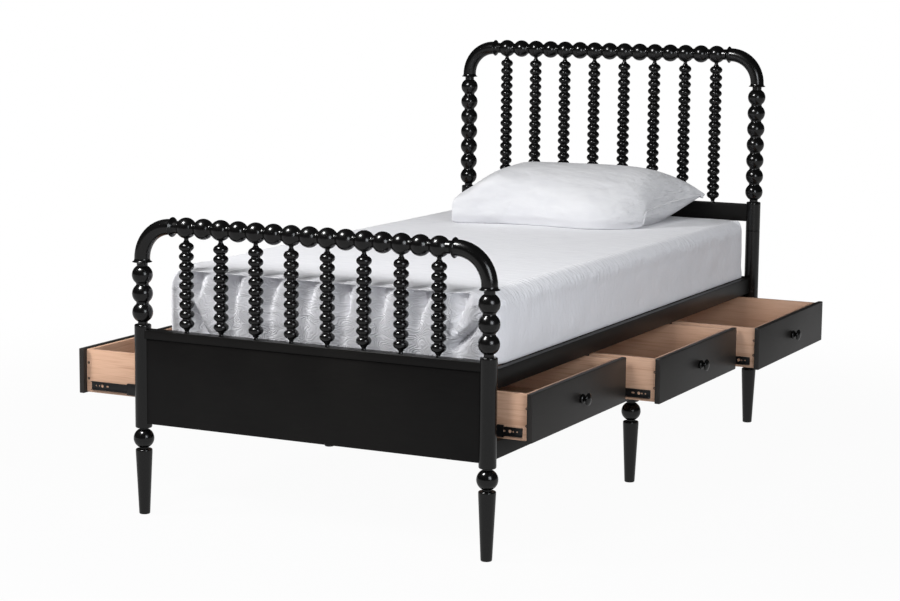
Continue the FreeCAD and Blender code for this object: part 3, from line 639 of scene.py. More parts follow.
sides = []
for sign in (1, -1):
    middle = sign * (BOX_HALF - WALL / 2)
    sides.append(board_mm("side", (BOX_BACK, middle - WALL / 2, BOX_LOW),
                          (BOX_FRONT, middle + WALL / 2, BOX_HIGH), BOX_EASE))
box_sides = end_grain(paint(join("box_sides", *sides), alder_x, alder_end), "X")
ends = [board_mm("end", (x, WALL - BOX_HALF, BOX_LOW), (x + WALL, BOX_HALF - WALL, BOX_HIGH), BOX_EASE)
        for x in (BOX_BACK + SHORT, BOX_FRONT - WALL - SHORT)]
box_ends = paint(join("box_ends", *ends), alder_y)
floor_low = BOX_LOW + FLOOR_LIFT
floor_high = floor_low + FLOOR_THICK
box_floor = board_mm("box_floor", (BOX_BACK + WALL - GROOVE, WALL - GROOVE - BOX_HALF, floor_low),
                     (BOX_FRONT - WALL + GROOVE, BOX_HALF - WALL + GROOVE, floor_high), FLOOR_EASE)
paint(box_floor, alder_x)
print("drawer box:", [round(v / MM) for v in box_sides.dimensions], "mm")

# %% [markdown]
# The knob is a small turning too: a plump body on a narrow foot, a thin neck and a wide cap. It comes
# off the lathe upright and is tipped over to point outwards. The screws are turned the same way, with
# the driver recess as a dip in the outline, since the cross in it is too small to be seen.

# %% Knob and screws
KNOB = [(0, 0), (0, 9.5), (1.2, 11.2), (3.2, 12.6), (5.6, 12.9), (8, 11.9), (10.2, 9.4), (11.8, 6.9),
        (13.4, 5.9), (15, 6.9), (16.4, 10.2), (17.8, 14.2), (19.4, 16.4), (21.2, 16.9), (23, 16.1),
        (24.2, 13.9), (25.2, 11.6), (26.8, 8.4), (27.7, 4.8), (28, 0)]
turned_knob = lathe("turned_knob", KNOB, KNOB_ROUND)
knob = copy(turned_knob, "drawer_knob", (FACE * MM, 0, KNOB_HEIGHT * MM), math.pi / 2, "Y")
paint(knob, lacquer_turned)

# A countersunk head with its driver recess, a little proud of the side board.
SCREW = [(-3, 0), (-3, 1.5), (-0.4, 3.4), (0, 3.6), (0.3, 3.4), (0.3, 1.3), (-0.9, 0.5), (-0.9, 0)]
head = lathe("head", SCREW, SCREW_ROUND)
heads = []
for sign in (1, -1):
    facing = copy(head, "facing", turn=-sign * math.pi / 2, axis="X")
    for height in SCREW_HEIGHTS:
        spot = ((BOX_FRONT - SCREW_INSET) * MM, sign * BOX_HALF * MM, height * MM)
        heads.append(copy(facing, "screw", spot))
    bpy.data.objects.remove(facing)
box_screws = paint(join("box_screws", *heads), screw_black)
print("knob:", len(knob.data.polygons), "faces,", len(heads), "screws")

# %% [markdown]
# ## Telescopic slides
# A slide member is a strip of steel sheet folded to a C. So it starts as a plane, its long edges are
# extruded to flanges, the two folds get a bend radius and Solidify gives it the sheet's thickness.
# Holes come last, cut by a boolean: the drawer member has the round, T and slot holes that its
# screws and the punching tool leave, and the wood of the box shows through them. The middle
# member ends in a small nylon buffer, and a row of steel balls runs between the two.

# %% Slide members
SLIDE_Z, SLIDE_LENGTH, SHEET, FOLD = 322.5, 400, 1.5, 1.8
SLIDE_FRONT = BOX_FRONT - 17
DRAWER_REACH, DRAWER_HALF = 6.6, 11.7                   # flange and half height of the drawer member
MIDDLE_WEB, MIDDLE_REACH, MIDDLE_HALF = 302.6, 7.0, 15.65
CUT_DEPTH, NEAR = 8, 0.1                                # a hole's cutter, and how close counts as there


def channel(name, web, reach, half, holes):
    """A folded channel along X at the bed's right side, its web at y = web, with holes through it."""
    clear()
    middle = ((SLIDE_FRONT - SLIDE_LENGTH / 2) * MM, web * MM, SLIDE_Z * MM)
    bpy.ops.mesh.primitive_plane_add(size=1, location=middle, rotation=(math.pi / 2, 0, 0))
    piece = bpy.context.object
    piece.name = name
    piece.scale = (SLIDE_LENGTH * MM, 2 * half * MM, 1)
    settle(piece)
    for side in (1, -1):
        level = (SLIDE_Z + side * half) * MM
        choose_edges(piece, lambda *ends: all(abs(end.z - level) < NEAR * MM for end in ends)
                     and all(abs(end.y - web * MM) < NEAR * MM for end in ends))
        bpy.ops.mesh.extrude_region_move(TRANSFORM_OT_translate={"value": (0, reach * MM, 0)})
    choose_edges(piece, lambda a, b: abs(a.x - b.x) > SLIDE_LENGTH / 2 * MM
                 and abs(a.y - web * MM) < NEAR * MM)
    bpy.ops.mesh.bevel(offset=FOLD * MM, segments=3, affect="EDGES")
    weld(DOUBLES)
    apply(piece, "SOLIDIFY", thickness=SHEET * MM, offset=0)
    for back, length, height in holes:
        clear()
        spot = ((SLIDE_FRONT - back) * MM, web * MM, SLIDE_Z * MM)
        bpy.ops.mesh.primitive_cylinder_add(vertices=16, radius=height / 2 * MM, depth=CUT_DEPTH * MM,
                                            location=spot, rotation=(math.pi / 2, 0, 0))
        cutter = bpy.context.object
        if length > height:
            for vertex in cutter.data.vertices:
                vertex.co.x += math.copysign((length - height) / 2 * MM, vertex.co.x)
        settle(cutter)
        apply(piece, "BOOLEAN", operation="DIFFERENCE", object=cutter, solver="EXACT")
        bpy.data.objects.remove(cutter)
    return smooth(piece, 40)


# Each hole: how far back from the member's front end, its length and its height.
DRAWER_HOLES = [(14.5, 4.6, 4.6), (25, 4.6, 4.6), (34, 3.2, 9.0), (36, 5.5, 3.4), (51, 9.5, 4.8),
                (150, 4.6, 4.6), (190, 9.5, 4.8), (290, 4.6, 4.6), (360, 9.5, 4.8)]
MIDDLE_HOLES = [(40, 12, 5), (120, 6, 6), (240, 12, 5), (340, 6, 6)]
pair = [channel("member", sign * (BOX_HALF + SHEET / 2), sign * DRAWER_REACH, DRAWER_HALF - SHEET / 2,
                DRAWER_HOLES) for sign in (1, -1)]
drawer_slides = paint(join("drawer_slides", *pair), slide_black)
pair = [channel("member", sign * (MIDDLE_WEB - SHEET / 2), -sign * MIDDLE_REACH, MIDDLE_HALF - SHEET / 2,
                MIDDLE_HOLES) for sign in (1, -1)]
middle_slides = paint(join("middle_slides", *pair), slide_black)
for members in (drawer_slides, middle_slides):
    print(members.name, len(members.data.polygons), "faces")

# %% [markdown]
# The balls sit between the flanges of the two members, in a cage near the middle member's front end.
# One ball is modelled and copied along both rows. The buffer is a rounded nylon block in the end of
# the middle member.

# %% Balls and buffers
BALL_RUN, BALL_STEP, BALL_SIZE = 6, 7.0, 2.4            # balls in a row, their spacing, their diameter
BALL_START, BALL_Y, BALL_RISE = 16, 297.6, 13.0
BUFFER_Y, BUFFER_WIDE, BUFFER_HIGH, BUFFER_EASE = 300.0, 1.6, 3.6, 1.5
BUFFER_BACK, BUFFER_FRONT = 11, 0.5
clear()
bpy.ops.mesh.primitive_uv_sphere_add(segments=12, ring_count=8, radius=BALL_SIZE / 2 * MM)
one_ball = smooth(bpy.context.object, 60)
balls = []
for sign in (1, -1):
    for level in (1, -1):
        for place in range(BALL_RUN):
            x = SLIDE_FRONT - BALL_START - BALL_STEP * place
            spot = (x * MM, sign * BALL_Y * MM, (SLIDE_Z + level * BALL_RISE) * MM)
            balls.append(copy(one_ball, "ball", spot))
bpy.data.objects.remove(one_ball)
slide_balls = paint(join("slide_balls", *balls), steel_ball)

buffers = []
for sign in (1, -1):
    middle = sign * BUFFER_Y
    low = (SLIDE_FRONT - BUFFER_BACK, middle - BUFFER_WIDE, SLIDE_Z - BUFFER_HIGH)
    high = (SLIDE_FRONT - BUFFER_FRONT, middle + BUFFER_WIDE, SLIDE_Z + BUFFER_HIGH)
    buffers.append(board_mm("buffer", low, high, BUFFER_EASE))
slide_buffers = paint(join("slide_buffers", *buffers), nylon)
print(len(balls), "balls and", len(buffers), "buffers on each drawer")

# %% [markdown]
# Now the six drawers. How far each one stands open is read from its solid, so a drawer can't miss
# its slides. The middle members follow at half the travel, as on the real slide.

# %% Six drawers
DRAWER_PARTS = ((box_sides, "drawer_box", "drawer_wood"), (box_ends, None, "drawer_wood"),
                (box_floor, None, "drawer_wood"), (knob, "drawer_knob", "knob_bronze"),
                (box_screws, None, "black_steel"), (drawer_slides, "drawer_slides", "black_steel"))
MIDDLE_PARTS = ((middle_slides, "middle_slides", "black_steel"), (slide_balls, None, "black_steel"),
                (slide_buffers, None, "black_steel"))
for side, sign in (("right", 1), ("left", -1)):
    for number in (1, 2, 3):
        tail = f"{side}_{number}"
        low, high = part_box(f"drawer_front_{tail}")
        out = (high[0] if sign > 0 else -low[0]) - FACE * MM
        bay = PITCH * (number - 2) * MM
        turn = 0 if sign > 0 else math.pi
        stand_in(f"drawer_front_{tail}", f"eased_drawer_front_{tail}", lacquer_front_painted_light, 2.0, f"drawer_{tail}")
        for body, parts, share in (("drawer", DRAWER_PARTS, 1), ("slide", MIDDLE_PARTS, 0.5)):
            for model, replaced, slot in parts:
                piece = copy(model, f"{model.name}_{tail}", (sign * out * share, bay, 0), turn)
                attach(piece, f"{body}_{tail}")
                if replaced:
                    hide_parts(f"{replaced}_{tail}")
        print(tail, "open by", round(out / MM), "mm")
for model in (turned_knob, head, *(row[0] for row in DRAWER_PARTS + MIDDLE_PARTS)):
    bpy.data.objects.remove(model)

# %% [markdown]
# ## Cloth, drawn and then simulated
# The mattress and the pillow are cloth over a soft core. Each starts as a plain box or pair of
# sheets with enough points, is drawn out to its form by moving the points, as one would sculpt it,
# and is then blown up a little by a short cloth run with pressure and no gravity. That rounds
# it, pulls its sides taut and leaves the small creases that nobody would draw. A soft cap keeps every
# point near its place, so the form stays the one that was drawn.

# %% Helpers for cloth
def reshape(piece, shape):
    """Moves every point to where a function of its place, in mm, puts it."""
    for vertex in piece.data.vertices:
        vertex.co = Vector(shape(*(value / MM for value in vertex.co))) * MM
    piece.data.update()


def gridded_box(name, low, high, cuts):
    """A box between two corners in mm, with its edges along X, Y and Z cut this many times."""
    clear()
    bpy.ops.mesh.primitive_cube_add(size=1, location=[(a + b) / 2 * MM for a, b in zip(low, high)])
    piece = bpy.context.object
    piece.name = name
    piece.scale = [(b - a) * MM for a, b in zip(low, high)]
    settle(piece)
    for axis, number in enumerate(cuts):
        choose_edges(piece, lambda a, b: abs(a[axis] - b[axis]) > (high[axis] - low[axis]) * MM / 2)
        bpy.ops.mesh.subdivide(number_cuts=number)
        bpy.ops.object.mode_set(mode="OBJECT")
    return piece


def weigh(piece, name, weight):
    """A vertex group whose weight is a function of a point's place in mm."""
    group = piece.vertex_groups.new(name=name)
    for vertex in piece.data.vertices:
        share = weight(*(value / MM for value in vertex.co))
        group.add([vertex.index], max(0.0, min(1.0, share)), "REPLACE")


FRAMES = 20


def inflate(piece, pressure, cap, held, loose=None, growth=0.0):
    """A short cloth run with pressure, then a soft cap, in mm, on how far a point has moved."""
    before = [vertex.co.copy() for vertex in piece.data.vertices]
    pick(piece)
    bpy.ops.object.modifier_add(type="CLOTH")
    cloth = piece.modifiers[-1]
    cloth.settings.quality = 4
    cloth.settings.use_pressure = True
    cloth.settings.uniform_pressure_force = pressure
    cloth.settings.effector_weights.gravity = 0
    cloth.settings.tension_stiffness = cloth.settings.compression_stiffness = 12
    cloth.settings.bending_stiffness = 0.2
    cloth.collision_settings.use_collision = False
    cloth.settings.vertex_group_mass = held
    if loose:
        cloth.settings.vertex_group_shrink = loose
        cloth.settings.shrink_max = -growth
    cloth.point_cache.frame_start, cloth.point_cache.frame_end = 1, FRAMES
    for step in range(1, FRAMES + 1):
        bpy.context.scene.frame_set(step)
    bpy.ops.object.modifier_apply(modifier=cloth.name)
    bpy.context.scene.frame_set(1)
    for vertex, old in zip(piece.data.vertices, before):
        move = vertex.co - old
        if move.length > 0:
            vertex.co = old + move * (cap * MM * math.tanh(move.length / (cap * MM)) / move.length)
    piece.data.update()


def ease(value, low, high):
    """A smooth step from 0 at low to 1 at high."""
    share = max(0.0, min(1.0, (value - low) / (high - low)))
    return share * share * (3 - 2 * share)

# %% [markdown]
# ## Mattress
# A foam core in a zipped cover of quilted cotton. The box grid is bent into a rounded slab: wide
# corners at the foot, tighter ones at the head, a soft roll along the sides, and a crisp edge across
# the foot end, where the top panel is sewn on. The top crowns a little. The lower edge and the foot end
# are held while the cloth runs, because the folds of the foot end are drawn afterwards.

# %% The slab
BED_X, BED_FOOT, BED_HEAD, BED_LOW, BED_EDGE = 494.5, -945.5, 957.5, 478.4, 664.5
CROWN, CROWN_WIDTH, TOP = 1.7, 150, 666.2
FOOT_CORNER, HEAD_CORNER = 108, 18                                          # radii seen from above
SIDE_ROLL, HEAD_ROLL, FOOT_ROLL, LOW_ROLL, CORNER_ROLL = 45, 14, 5, 4, 90   # radii seen from the side
RISE_POWER, PULL_X, PULL_Y = 1.35, 0.08, 0.14                               # where the grid is closer
CUTS = (83, 91, 13)


def plan(x, y):
    """Rounded outline of the mattress: the place, how far inside it is, and the way out."""
    half, middle = (BED_HEAD - BED_FOOT) / 2, (BED_HEAD + BED_FOOT) / 2
    along = y - middle
    radius = HEAD_CORNER if along > 0 else FOOT_CORNER
    over_x, over_y = abs(x) - (BED_X - radius), abs(along) - (half - radius)
    sign_x, sign_y = math.copysign(1, x), math.copysign(1, along)
    if over_x > 0 and over_y > 0:
        length = math.hypot(over_x, over_y)
        reach = max(over_x, over_y)
        out = (over_x / length, over_y / length)
        place_x = sign_x * (BED_X - radius + out[0] * reach)
        place_y = middle + sign_y * (half - radius + out[1] * reach)
        return (place_x, place_y), radius - reach, (sign_x * out[0], sign_y * out[1])
    if BED_X - abs(x) < half - abs(along):
        return (x, y), BED_X - abs(x), (sign_x, 0)
    return (x, y), half - abs(along), (0, sign_y)


def slab(x, y, z):
    """From the plain grid to the rounded mattress."""
    (x, y), inside, out = plan(x, y)
    end_roll = HEAD_ROLL if out[1] > 0 else FOOT_ROLL
    corner_roll = CORNER_ROLL if out[1] < 0 else 0
    roll = SIDE_ROLL * out[0] ** 2 + end_roll * out[1] ** 2 + corner_roll * (out[0] * out[1]) ** 2
    share = min(1.0, max(0.0, (z - BED_LOW) / (BED_EDGE - BED_LOW)))
    z = BED_LOW + (BED_EDGE - BED_LOW) * (1 - (1 - share) ** RISE_POWER)
    for edge, radius, way in ((BED_EDGE, roll, -1), (BED_LOW, LOW_ROLL, 1)):
        gap_side, gap_top = radius - inside, radius - (z - edge) * way
        if gap_side > 0 and gap_top > 0:
            length, reach = math.hypot(gap_side, gap_top), max(gap_side, gap_top)
            moved = radius - gap_side * reach / length
            x, y = x - out[0] * (moved - inside), y - out[1] * (moved - inside)
            z = edge + way * (radius - gap_top * reach / length)
            inside = moved
    along = (y - BED_FOOT) / (BED_HEAD - BED_FOOT)
    across = ease(BED_X - abs(x), 0, CROWN_WIDTH * (1 - 0.6 * along))
    rise = CROWN * across * ease(y - BED_FOOT, 0, CROWN_WIDTH)
    return x, y, z + rise * ease(share, 0.5, 1)


def gather(value, low, high, pull):
    """Draws evenly spaced places towards both ends of a span, where the form needs more points."""
    share = (value - low) / (high - low)
    return low + (high - low) * (share - pull * math.sin(2 * math.pi * share))


mattress = gridded_box("quilted_mattress", (-BED_X, BED_FOOT, BED_LOW), (BED_X, BED_HEAD, BED_EDGE), CUTS)
reshape(mattress, lambda x, y, z: slab(gather(x, -BED_X, BED_X, PULL_X),
                                       gather(y, BED_FOOT, BED_HEAD, PULL_Y), z))
weigh(mattress, "sewn edges", lambda x, y, z: max(1 - ease(y, BED_FOOT + 14, BED_FOOT + 60),
                                                  1 - ease(z, BED_LOW + 4, BED_LOW + 30)))
inflate(mattress, 3.0, 5, held="sewn edges")
apply(mattress, "SUBSURF", levels=1, render_levels=1)
print("mattress:", len(mattress.data.polygons), "faces,", [round(v / MM) for v in mattress.dimensions])

# %% [markdown]
# The cover is a little too wide for the foot end, so it falls in nine upright billows under the
# crisp top edge, with the valleys between them deepest just below it. At both corners it is tucked
# under in one slanting fold. These are drawn after the cloth run, as the sewn lines would be lost in
# it. The right and left sides are only a little uneven, with a row of slight gathers below the roll.

# %% Billows, tucks and gathers
BILLOW, BILLOW_START, BILLOW_DEPTH = 110, -29, 46       # width, first valley, depth of a valley
VALLEY_TOP, VALLEY_LOW = (1, 4.5), (12, 115)            # it sets in and fades out over these, from the edge
BOW, BOW_HEIGHT = 3.5, 186
TUCK_STEP, TUCK_GROOVE, TUCK_WIDTH = 15, 38, 12
RIGHT_TUCK = ((480, 613), (413, 553))                   # top and low end of each fold, as X and Z
LEFT_TUCK = ((-372, 570), (-331, 506))
LEFT_SHARE = 0.7                                        # the left fold is the slighter one
WAVE, TURN = (0.004, 0.02), (0, 6.28)                   # radians to a mm, and where a wave starts
random.seed(7)
wander = [(random.uniform(*WAVE), random.uniform(*TURN), random.uniform(*WAVE), random.uniform(*TURN))
          for _ in range(6)]


def drift(a, b):
    """A slow uneven wave, between about -1 and 1."""
    return sum(math.sin(a * fa + pa) * math.sin(b * fb + pb) for fa, pa, fb, pb in wander) / 2.4


def tuck(x, z, top, low, side):
    """How far the cloth stands proud beside a slanting fold, a groove that runs from top to low."""
    run = (low[0] - top[0], low[1] - top[1])
    length = math.hypot(*run)
    across = ((x - top[0]) * run[1] - (z - top[1]) * run[0]) / length * side
    down = ((x - top[0]) * run[0] + (z - top[1]) * run[1]) / length ** 2
    window = ease(down, -0.4, 0.1) * (1 - ease(down, 1.0, 1.6))
    step = TUCK_STEP * ease(across, -2, 9) * (1 - ease(across, 18, 90))
    groove = TUCK_GROOVE * math.exp(-(min(0, across + 2) / TUCK_WIDTH) ** 2) * (1 - ease(across, -2, 9))
    return (step - groove) * window


def folds(x, y, z):
    """Billows, tucks and gathers on the finished slab."""
    (_, _), inside, out = plan(x, y)
    below = BED_EDGE - z
    near = 1 - ease(inside, 6, 30)
    foot = near * max(0.0, -out[1]) ** 2
    if foot > 0 and below > -4:
        phase = (x - BILLOW_START + 7 * drift(x, z * 2)) / BILLOW
        trough = (1 - abs(math.sin(math.pi * phase))) ** (1.1 + 1.2 * ease(below, 5, 70))
        depth = BILLOW_DEPTH * ease(below, *VALLEY_TOP) * (0.12 + 0.88 * (1 - ease(below, *VALLEY_LOW)))
        depth *= 0.85 + 0.25 * drift(x * 3, 40)
        depth *= 1 - ease(abs(x), 400, 470)
        bow = BOW * math.sin(math.pi * min(1, max(0, below / BOW_HEIGHT)))
        push = bow - trough * depth + 1.6 * drift(x * 4, z * 5)
        push += tuck(x, z, *RIGHT_TUCK, 1) + tuck(x, z, *LEFT_TUCK, -1) * LEFT_SHARE
        y -= foot * push * ease(z, BED_LOW, BED_LOW + 18)
    side = near * out[0] ** 2 * ease(below, 8, 40) * ease(z, BED_LOW, BED_LOW + 30)
    if side > 0:
        uneven = 1.4 * drift(y * 2.2, z * 4) + 0.6 * math.sin(y / 17 + 3 * drift(y, z))
        x += math.copysign(1, x) * side * uneven
    return x, y, min(z, TOP)


reshape(mattress, folds)
smooth(mattress, 60)
print("with its folds:", [round(v / MM) for v in mattress.dimensions], "mm")

# %% [markdown]
# ## Quilted cotton
# The cover is white cotton matelasse: two layers woven together with small padded wrinkles between.
# The eye gets a matt, slightly cool white with a faint sheen at the edges, and relief in several
# scales. On the top the wrinkles run across the bed, on the sides they hang upright, and the foot end
# shows the stitched contour lines. Along the side seams the cloth is gathered. Masks from the place of
# a point choose between them. The threads of such a cloth are too fine to show, so the weave is drawn
# several times coarser.

# %% Quilted cover
def cotton(name, light, dark, reliefs, weave=1.3 * MM, sheen=0.12):
    """White cotton cloth. Each relief is a scale, a detail, stitched lines, a height and its bands."""
    made, tree, shader, place = material(name)
    split = node(tree, "SeparateXYZ", {"Vector": place})
    threads = node(tree, "TexNoise", {"Vector": place, "Scale": 1 / weave, "Detail": 1.0})
    bump = node(tree, "Bump", {"Height": threads, "Distance": 0.12 * MM, "Strength": 0.4})
    tone = None
    for scale, detail, lines, height, bands in reliefs:
        scaled = node(tree, "Mapping", {"Vector": place, "Scale": scale})
        pattern = node(tree, "TexNoise", {"Vector": scaled, "Scale": 1.0, "Detail": detail})
        if lines:
            count = node(tree, "Math", {0: pattern, 1: lines}, operation="MULTIPLY")
            pattern = node(tree, "Math", {0: count, 1: 1.0}, operation="PINGPONG")
        for axis, start, full in bands:
            value = split.outputs[axis[0]]
            if axis == "X both ways":
                value = node(tree, "Math", {0: value}, operation="ABSOLUTE")
            band = {"Value": value, "From Min": start * MM, "From Max": full * MM}
            mask = node(tree, "MapRange", band, interpolation_type="SMOOTHSTEP")
            pattern = node(tree, "Math", {0: pattern, 1: mask}, operation="MULTIPLY")
        bump = node(tree, "Bump", {"Height": pattern, "Distance": height * MM, "Strength": 1.0,
                                   "Normal": bump})
        tone = tone or pattern
    # The colour follows the first relief: lighter on its crests, darker in its hollows and wherever its
    # bands are off. That is painted shade.
    colour = node(tree, "ValToRGB", {"Fac": tone}, stops=[(0.25, dark), (0.6, light)])
    feed(tree, shader, {"Base Color": colour, "Normal": bump, "Roughness": 0.92, "IOR": 1.45,
                        "Specular IOR Level": 0.3, "Sheen Weight": sheen, "Sheen Roughness": 0.5})
    return made


def per_mm(x, y, z):
    """Pattern scale from the size of its features on each axis, in mm."""
    return (1 / (x * MM), 1 / (y * MM), 1 / (z * MM))


# The top's wrinkles, the sides' wrinkles, the gathers at the side seams, the foot end's stitched lines.
# Its colour is darker in the hollows of the top's wrinkles and all over the sides and the foot end: painted
# shade.
matelasse = cotton("white quilted cotton", "#EDEDF0", "#E4E4E8", [
    (per_mm(75, 9, 60), 2.0, 0, 3.4, [("Z", 650, 664), ("Y", -935, -900)]),
    (per_mm(40, 13, 24), 3.0, 0, 2.8, [("X both ways", 455, 485), ("Z", 655, 640)]),
    (per_mm(60, 13, 22), 3.0, 0, 6.5, [("X both ways", 430, 460), ("Z", 672, 664), ("Z", 600, 635)]),
    (per_mm(70, 400, 40), 1.0, 34, 1.3, [("Y", -900, -925), ("Z", 662, 645)])])
paint(mattress, matelasse)
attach(mattress, "frame")
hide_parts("mattress")
print("mattress in", matelasse.name)

# %% [markdown]
# ## Pillow
# Two sheets sewn together at the edge and stuffed. The lower sheet lies on the mattress, and the
# upper one rises from the seam to a flat ridge near the head end. The seam touches the mattress at
# the front corners, and lifts towards the back. The front left corner is squashed to a small wall,
# and the back right corner ends in a tail of the case. Both sheets are one grid, drawn out to
# their places by a function and merged along the rim.

# %% Two sheets, filled
PILLOW_U, PILLOW_V = 96, 72
PILLOW_CORNERS = {(-1, -1): (-273, 378, 675), (1, -1): (300, 550, 673),
                  (1, 1): (370, 912, 746), (-1, 1): (-350, 891, 741)}
REST_TOP, PILLOW_BACK = 666.9, 913                          # the lowest and the furthest back it may reach
SIDE_IN, BACK_IN, FRONT_IN, FRONT_OUT = 20, 8, 21, 95       # how far its edges leave straight lines
PILLOW_LIFT, SEAM_LIFT, RIM_GAP = 16, 40, 0.05


def pillow_point(u, v, upper):
    """Place in mm of a point of the upper or lower sheet, u to the right and v to the back, -1 to 1."""
    a, b = (u + 1) / 2, (v + 1) / 2
    shares = {(-1, -1): (1 - a) * (1 - b), (1, -1): a * (1 - b), (1, 1): a * b, (-1, 1): (1 - a) * b}
    x, y, z = (sum(PILLOW_CORNERS[key][axis] * share for key, share in shares.items())
               for axis in range(3))
    x -= SIDE_IN * u * abs(u) ** 3 * (1 - v * v)
    y -= BACK_IN * max(0, v) ** 4 * (1 - u * u)
    bulge = math.exp(-((u - 0.672) / 0.667) ** 2)
    y += max(0, -v) ** 3 * (FRONT_IN * (1 - u * u) - FRONT_OUT * (1 - u ** 4) * bulge)
    z += PILLOW_LIFT * max(0, -v) ** 6 * math.exp(-((u + 0.6) / 0.22) ** 2)
    lift = SEAM_LIFT * ease(v, -1, -0.8) * (1 - b) * max(0, u) ** 8
    z += lift
    side = 1 - abs(u) ** (4.8 if u > 0 else 7.1)
    end = 1 - abs(v) ** (1.73 if v > 0 else 2.03 + 3.2 * (1 - a) ** 3)
    fullness = max(0, side * end)
    if upper:
        swell = 0.56 + 0.44 * ease(u, -1, -0.515)
        return x, y, z + (102 + 63 * (1 - b)) * swell * fullness ** (0.45 - 0.38 * (1 - a) * (1 - b))
    belly = fullness ** 0.5
    return x + 8 * max(0, u) ** 6 * belly, y, max(REST_TOP, z - (58 + 12 * b + lift) * belly)


def crowd(value):
    """Draws places between -1 and 1 towards both ends, where the pillow turns most."""
    return math.copysign(1 - max(0, 1 - abs(value)) ** 1.7, value)


sheets = []
for upper in (True, False):
    clear()
    bpy.ops.mesh.primitive_grid_add(x_subdivisions=PILLOW_U, y_subdivisions=PILLOW_V, size=2 * MM)
    piece = bpy.context.object
    weigh(piece, "sewn or resting", lambda u, v, _: max(abs(u), abs(v)) > 0.999 or not upper
          and pillow_point(crowd(u), crowd(v), upper)[2] < REST_TOP + 0.05)
    reshape(piece, lambda u, v, _: pillow_point(crowd(u), crowd(v), upper))
    sheets.append(piece)
pillow = join("cotton_pillow", *sheets)
bpy.ops.object.mode_set(mode="EDIT")
weld(RIM_GAP)
weigh(pillow, "crinkled", lambda x, y, z: ease(x, 130, 290) + 0.25 * (1 - ease(x, -290, -180)))
inflate(pillow, 1.2, 4, held="sewn or resting", loose="crinkled", growth=0.07)
reshape(pillow, lambda x, y, z: (x, min(y, PILLOW_BACK), max(z, REST_TOP)))
print("pillow:", len(pillow.data.polygons), "faces,", [round(v / MM) for v in pillow.dimensions], "mm")

# %% [markdown]
# The case is cotton percale, a close plain weave: matt, smoother than the quilted cover, and crinkled
# beside its end seam. It is sewn shut along the right end. That seam is a thin ridge from the front
# corner up to the back, where the hem leaves a small drooping tail, so a tube follows the rim between
# the sheets.

# %% End seam and case
SEAM_STEPS, SEAM_RADIUS, SEAM_FLARE, FLARE_STEPS = 30, 3.6, 0.7, 6
apply(pillow, "SUBSURF", levels=1, render_levels=1)
clear()
bpy.ops.curve.primitive_bezier_curve_add()
seam = bpy.context.object
seam.data.splines.clear()
route = [pillow_point(1, step / SEAM_STEPS, True) for step in range(1 - SEAM_STEPS, SEAM_STEPS)]
tip = route[-1]
route += [(tip[0] - 3, tip[1] - 3, tip[2] - 3), (tip[0] - 4, tip[1] - 6, tip[2] - 10)]
line = seam.data.splines.new("POLY")
line.points.add(len(route) - 1)
for share, (point, place) in enumerate(zip(line.points, route)):
    point.co = (*(value * MM for value in place), 1)
    point.radius = 1 + SEAM_FLARE * ease(share, len(route) - FLARE_STEPS, len(route) - 1)
seam.data.bevel_depth = SEAM_RADIUS * MM
seam.data.bevel_resolution = 2
seam.data.use_fill_caps = True
bpy.ops.object.convert(target="MESH")
pillow = join("cotton_pillow", pillow, seam)
smooth(pillow, 80)
# Slack waves all over, crinkles beside the end seam, and broad dents.
# Its colour is darker in the hollows of the slack waves and on the pillow's low part next to the mattress:
# painted shade.
percale = cotton("white cotton percale", "#D6D6D8", "#CFCFD2", [
    (per_mm(90, 40, 30), 2.0, 0, 4.0, [("Z", 676, 700)]),
    (per_mm(24, 60, 14), 3.0, 0, 9.0, [("X", 190, 300), ("Z", 670, 690)]),
    (per_mm(90, 90, 90), 2.0, 0, 9.0, [("Z", 660, 700)])], weave=0.9 * MM, sheen=0.08)
paint(pillow, percale)
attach(pillow, "frame")
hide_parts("pillow")
print("pillow with its seam:", len(pillow.data.polygons), "faces, in", percale.name)

# %% [markdown]
# ## Studio
# The bed stands on a white sweep in soft light. Two softboxes high on the left and in front give the
# shadows under the edge of the mattress, a cool one on the right fills the long side, and a small
# window is only seen mirrored, as the white mark on every ball. The world glows from the right. To the
# camera the floor and the world are plain white, but they light the bed only a little, so that the
# white cloth keeps its shading, and the polished balls mirror them dimly.

# %% Floor and world
def to_camera_white(tree, shown, camera_share, mirrored):
    """Shows white to the camera and a dimmer white to reflections, and leaves the light alone."""
    seen = node(tree, "LightPath")
    camera_ray, glossy, through = (seen.outputs[f"Is {kind} Ray"]
                                   for kind in ("Camera", "Glossy", "Transmission"))
    direct = node(tree, "Math", {0: camera_ray, 1: camera_share}, operation="MULTIPLY")
    bounced = node(tree, "Math", {0: glossy, 1: through}, operation="MAXIMUM")
    share = node(tree, "Math", {0: direct, 1: bounced}, operation="MAXIMUM")
    level = node(tree, "Math", {0: bounced, 1: mirrored - 1, 2: 1.0}, operation="MULTIPLY_ADD")
    glow = node(tree, "Emission", {"Color": (1, 1, 1, 1), "Strength": level})
    return node(tree, "MixShader", {0: share, 1: shown, 2: glow})


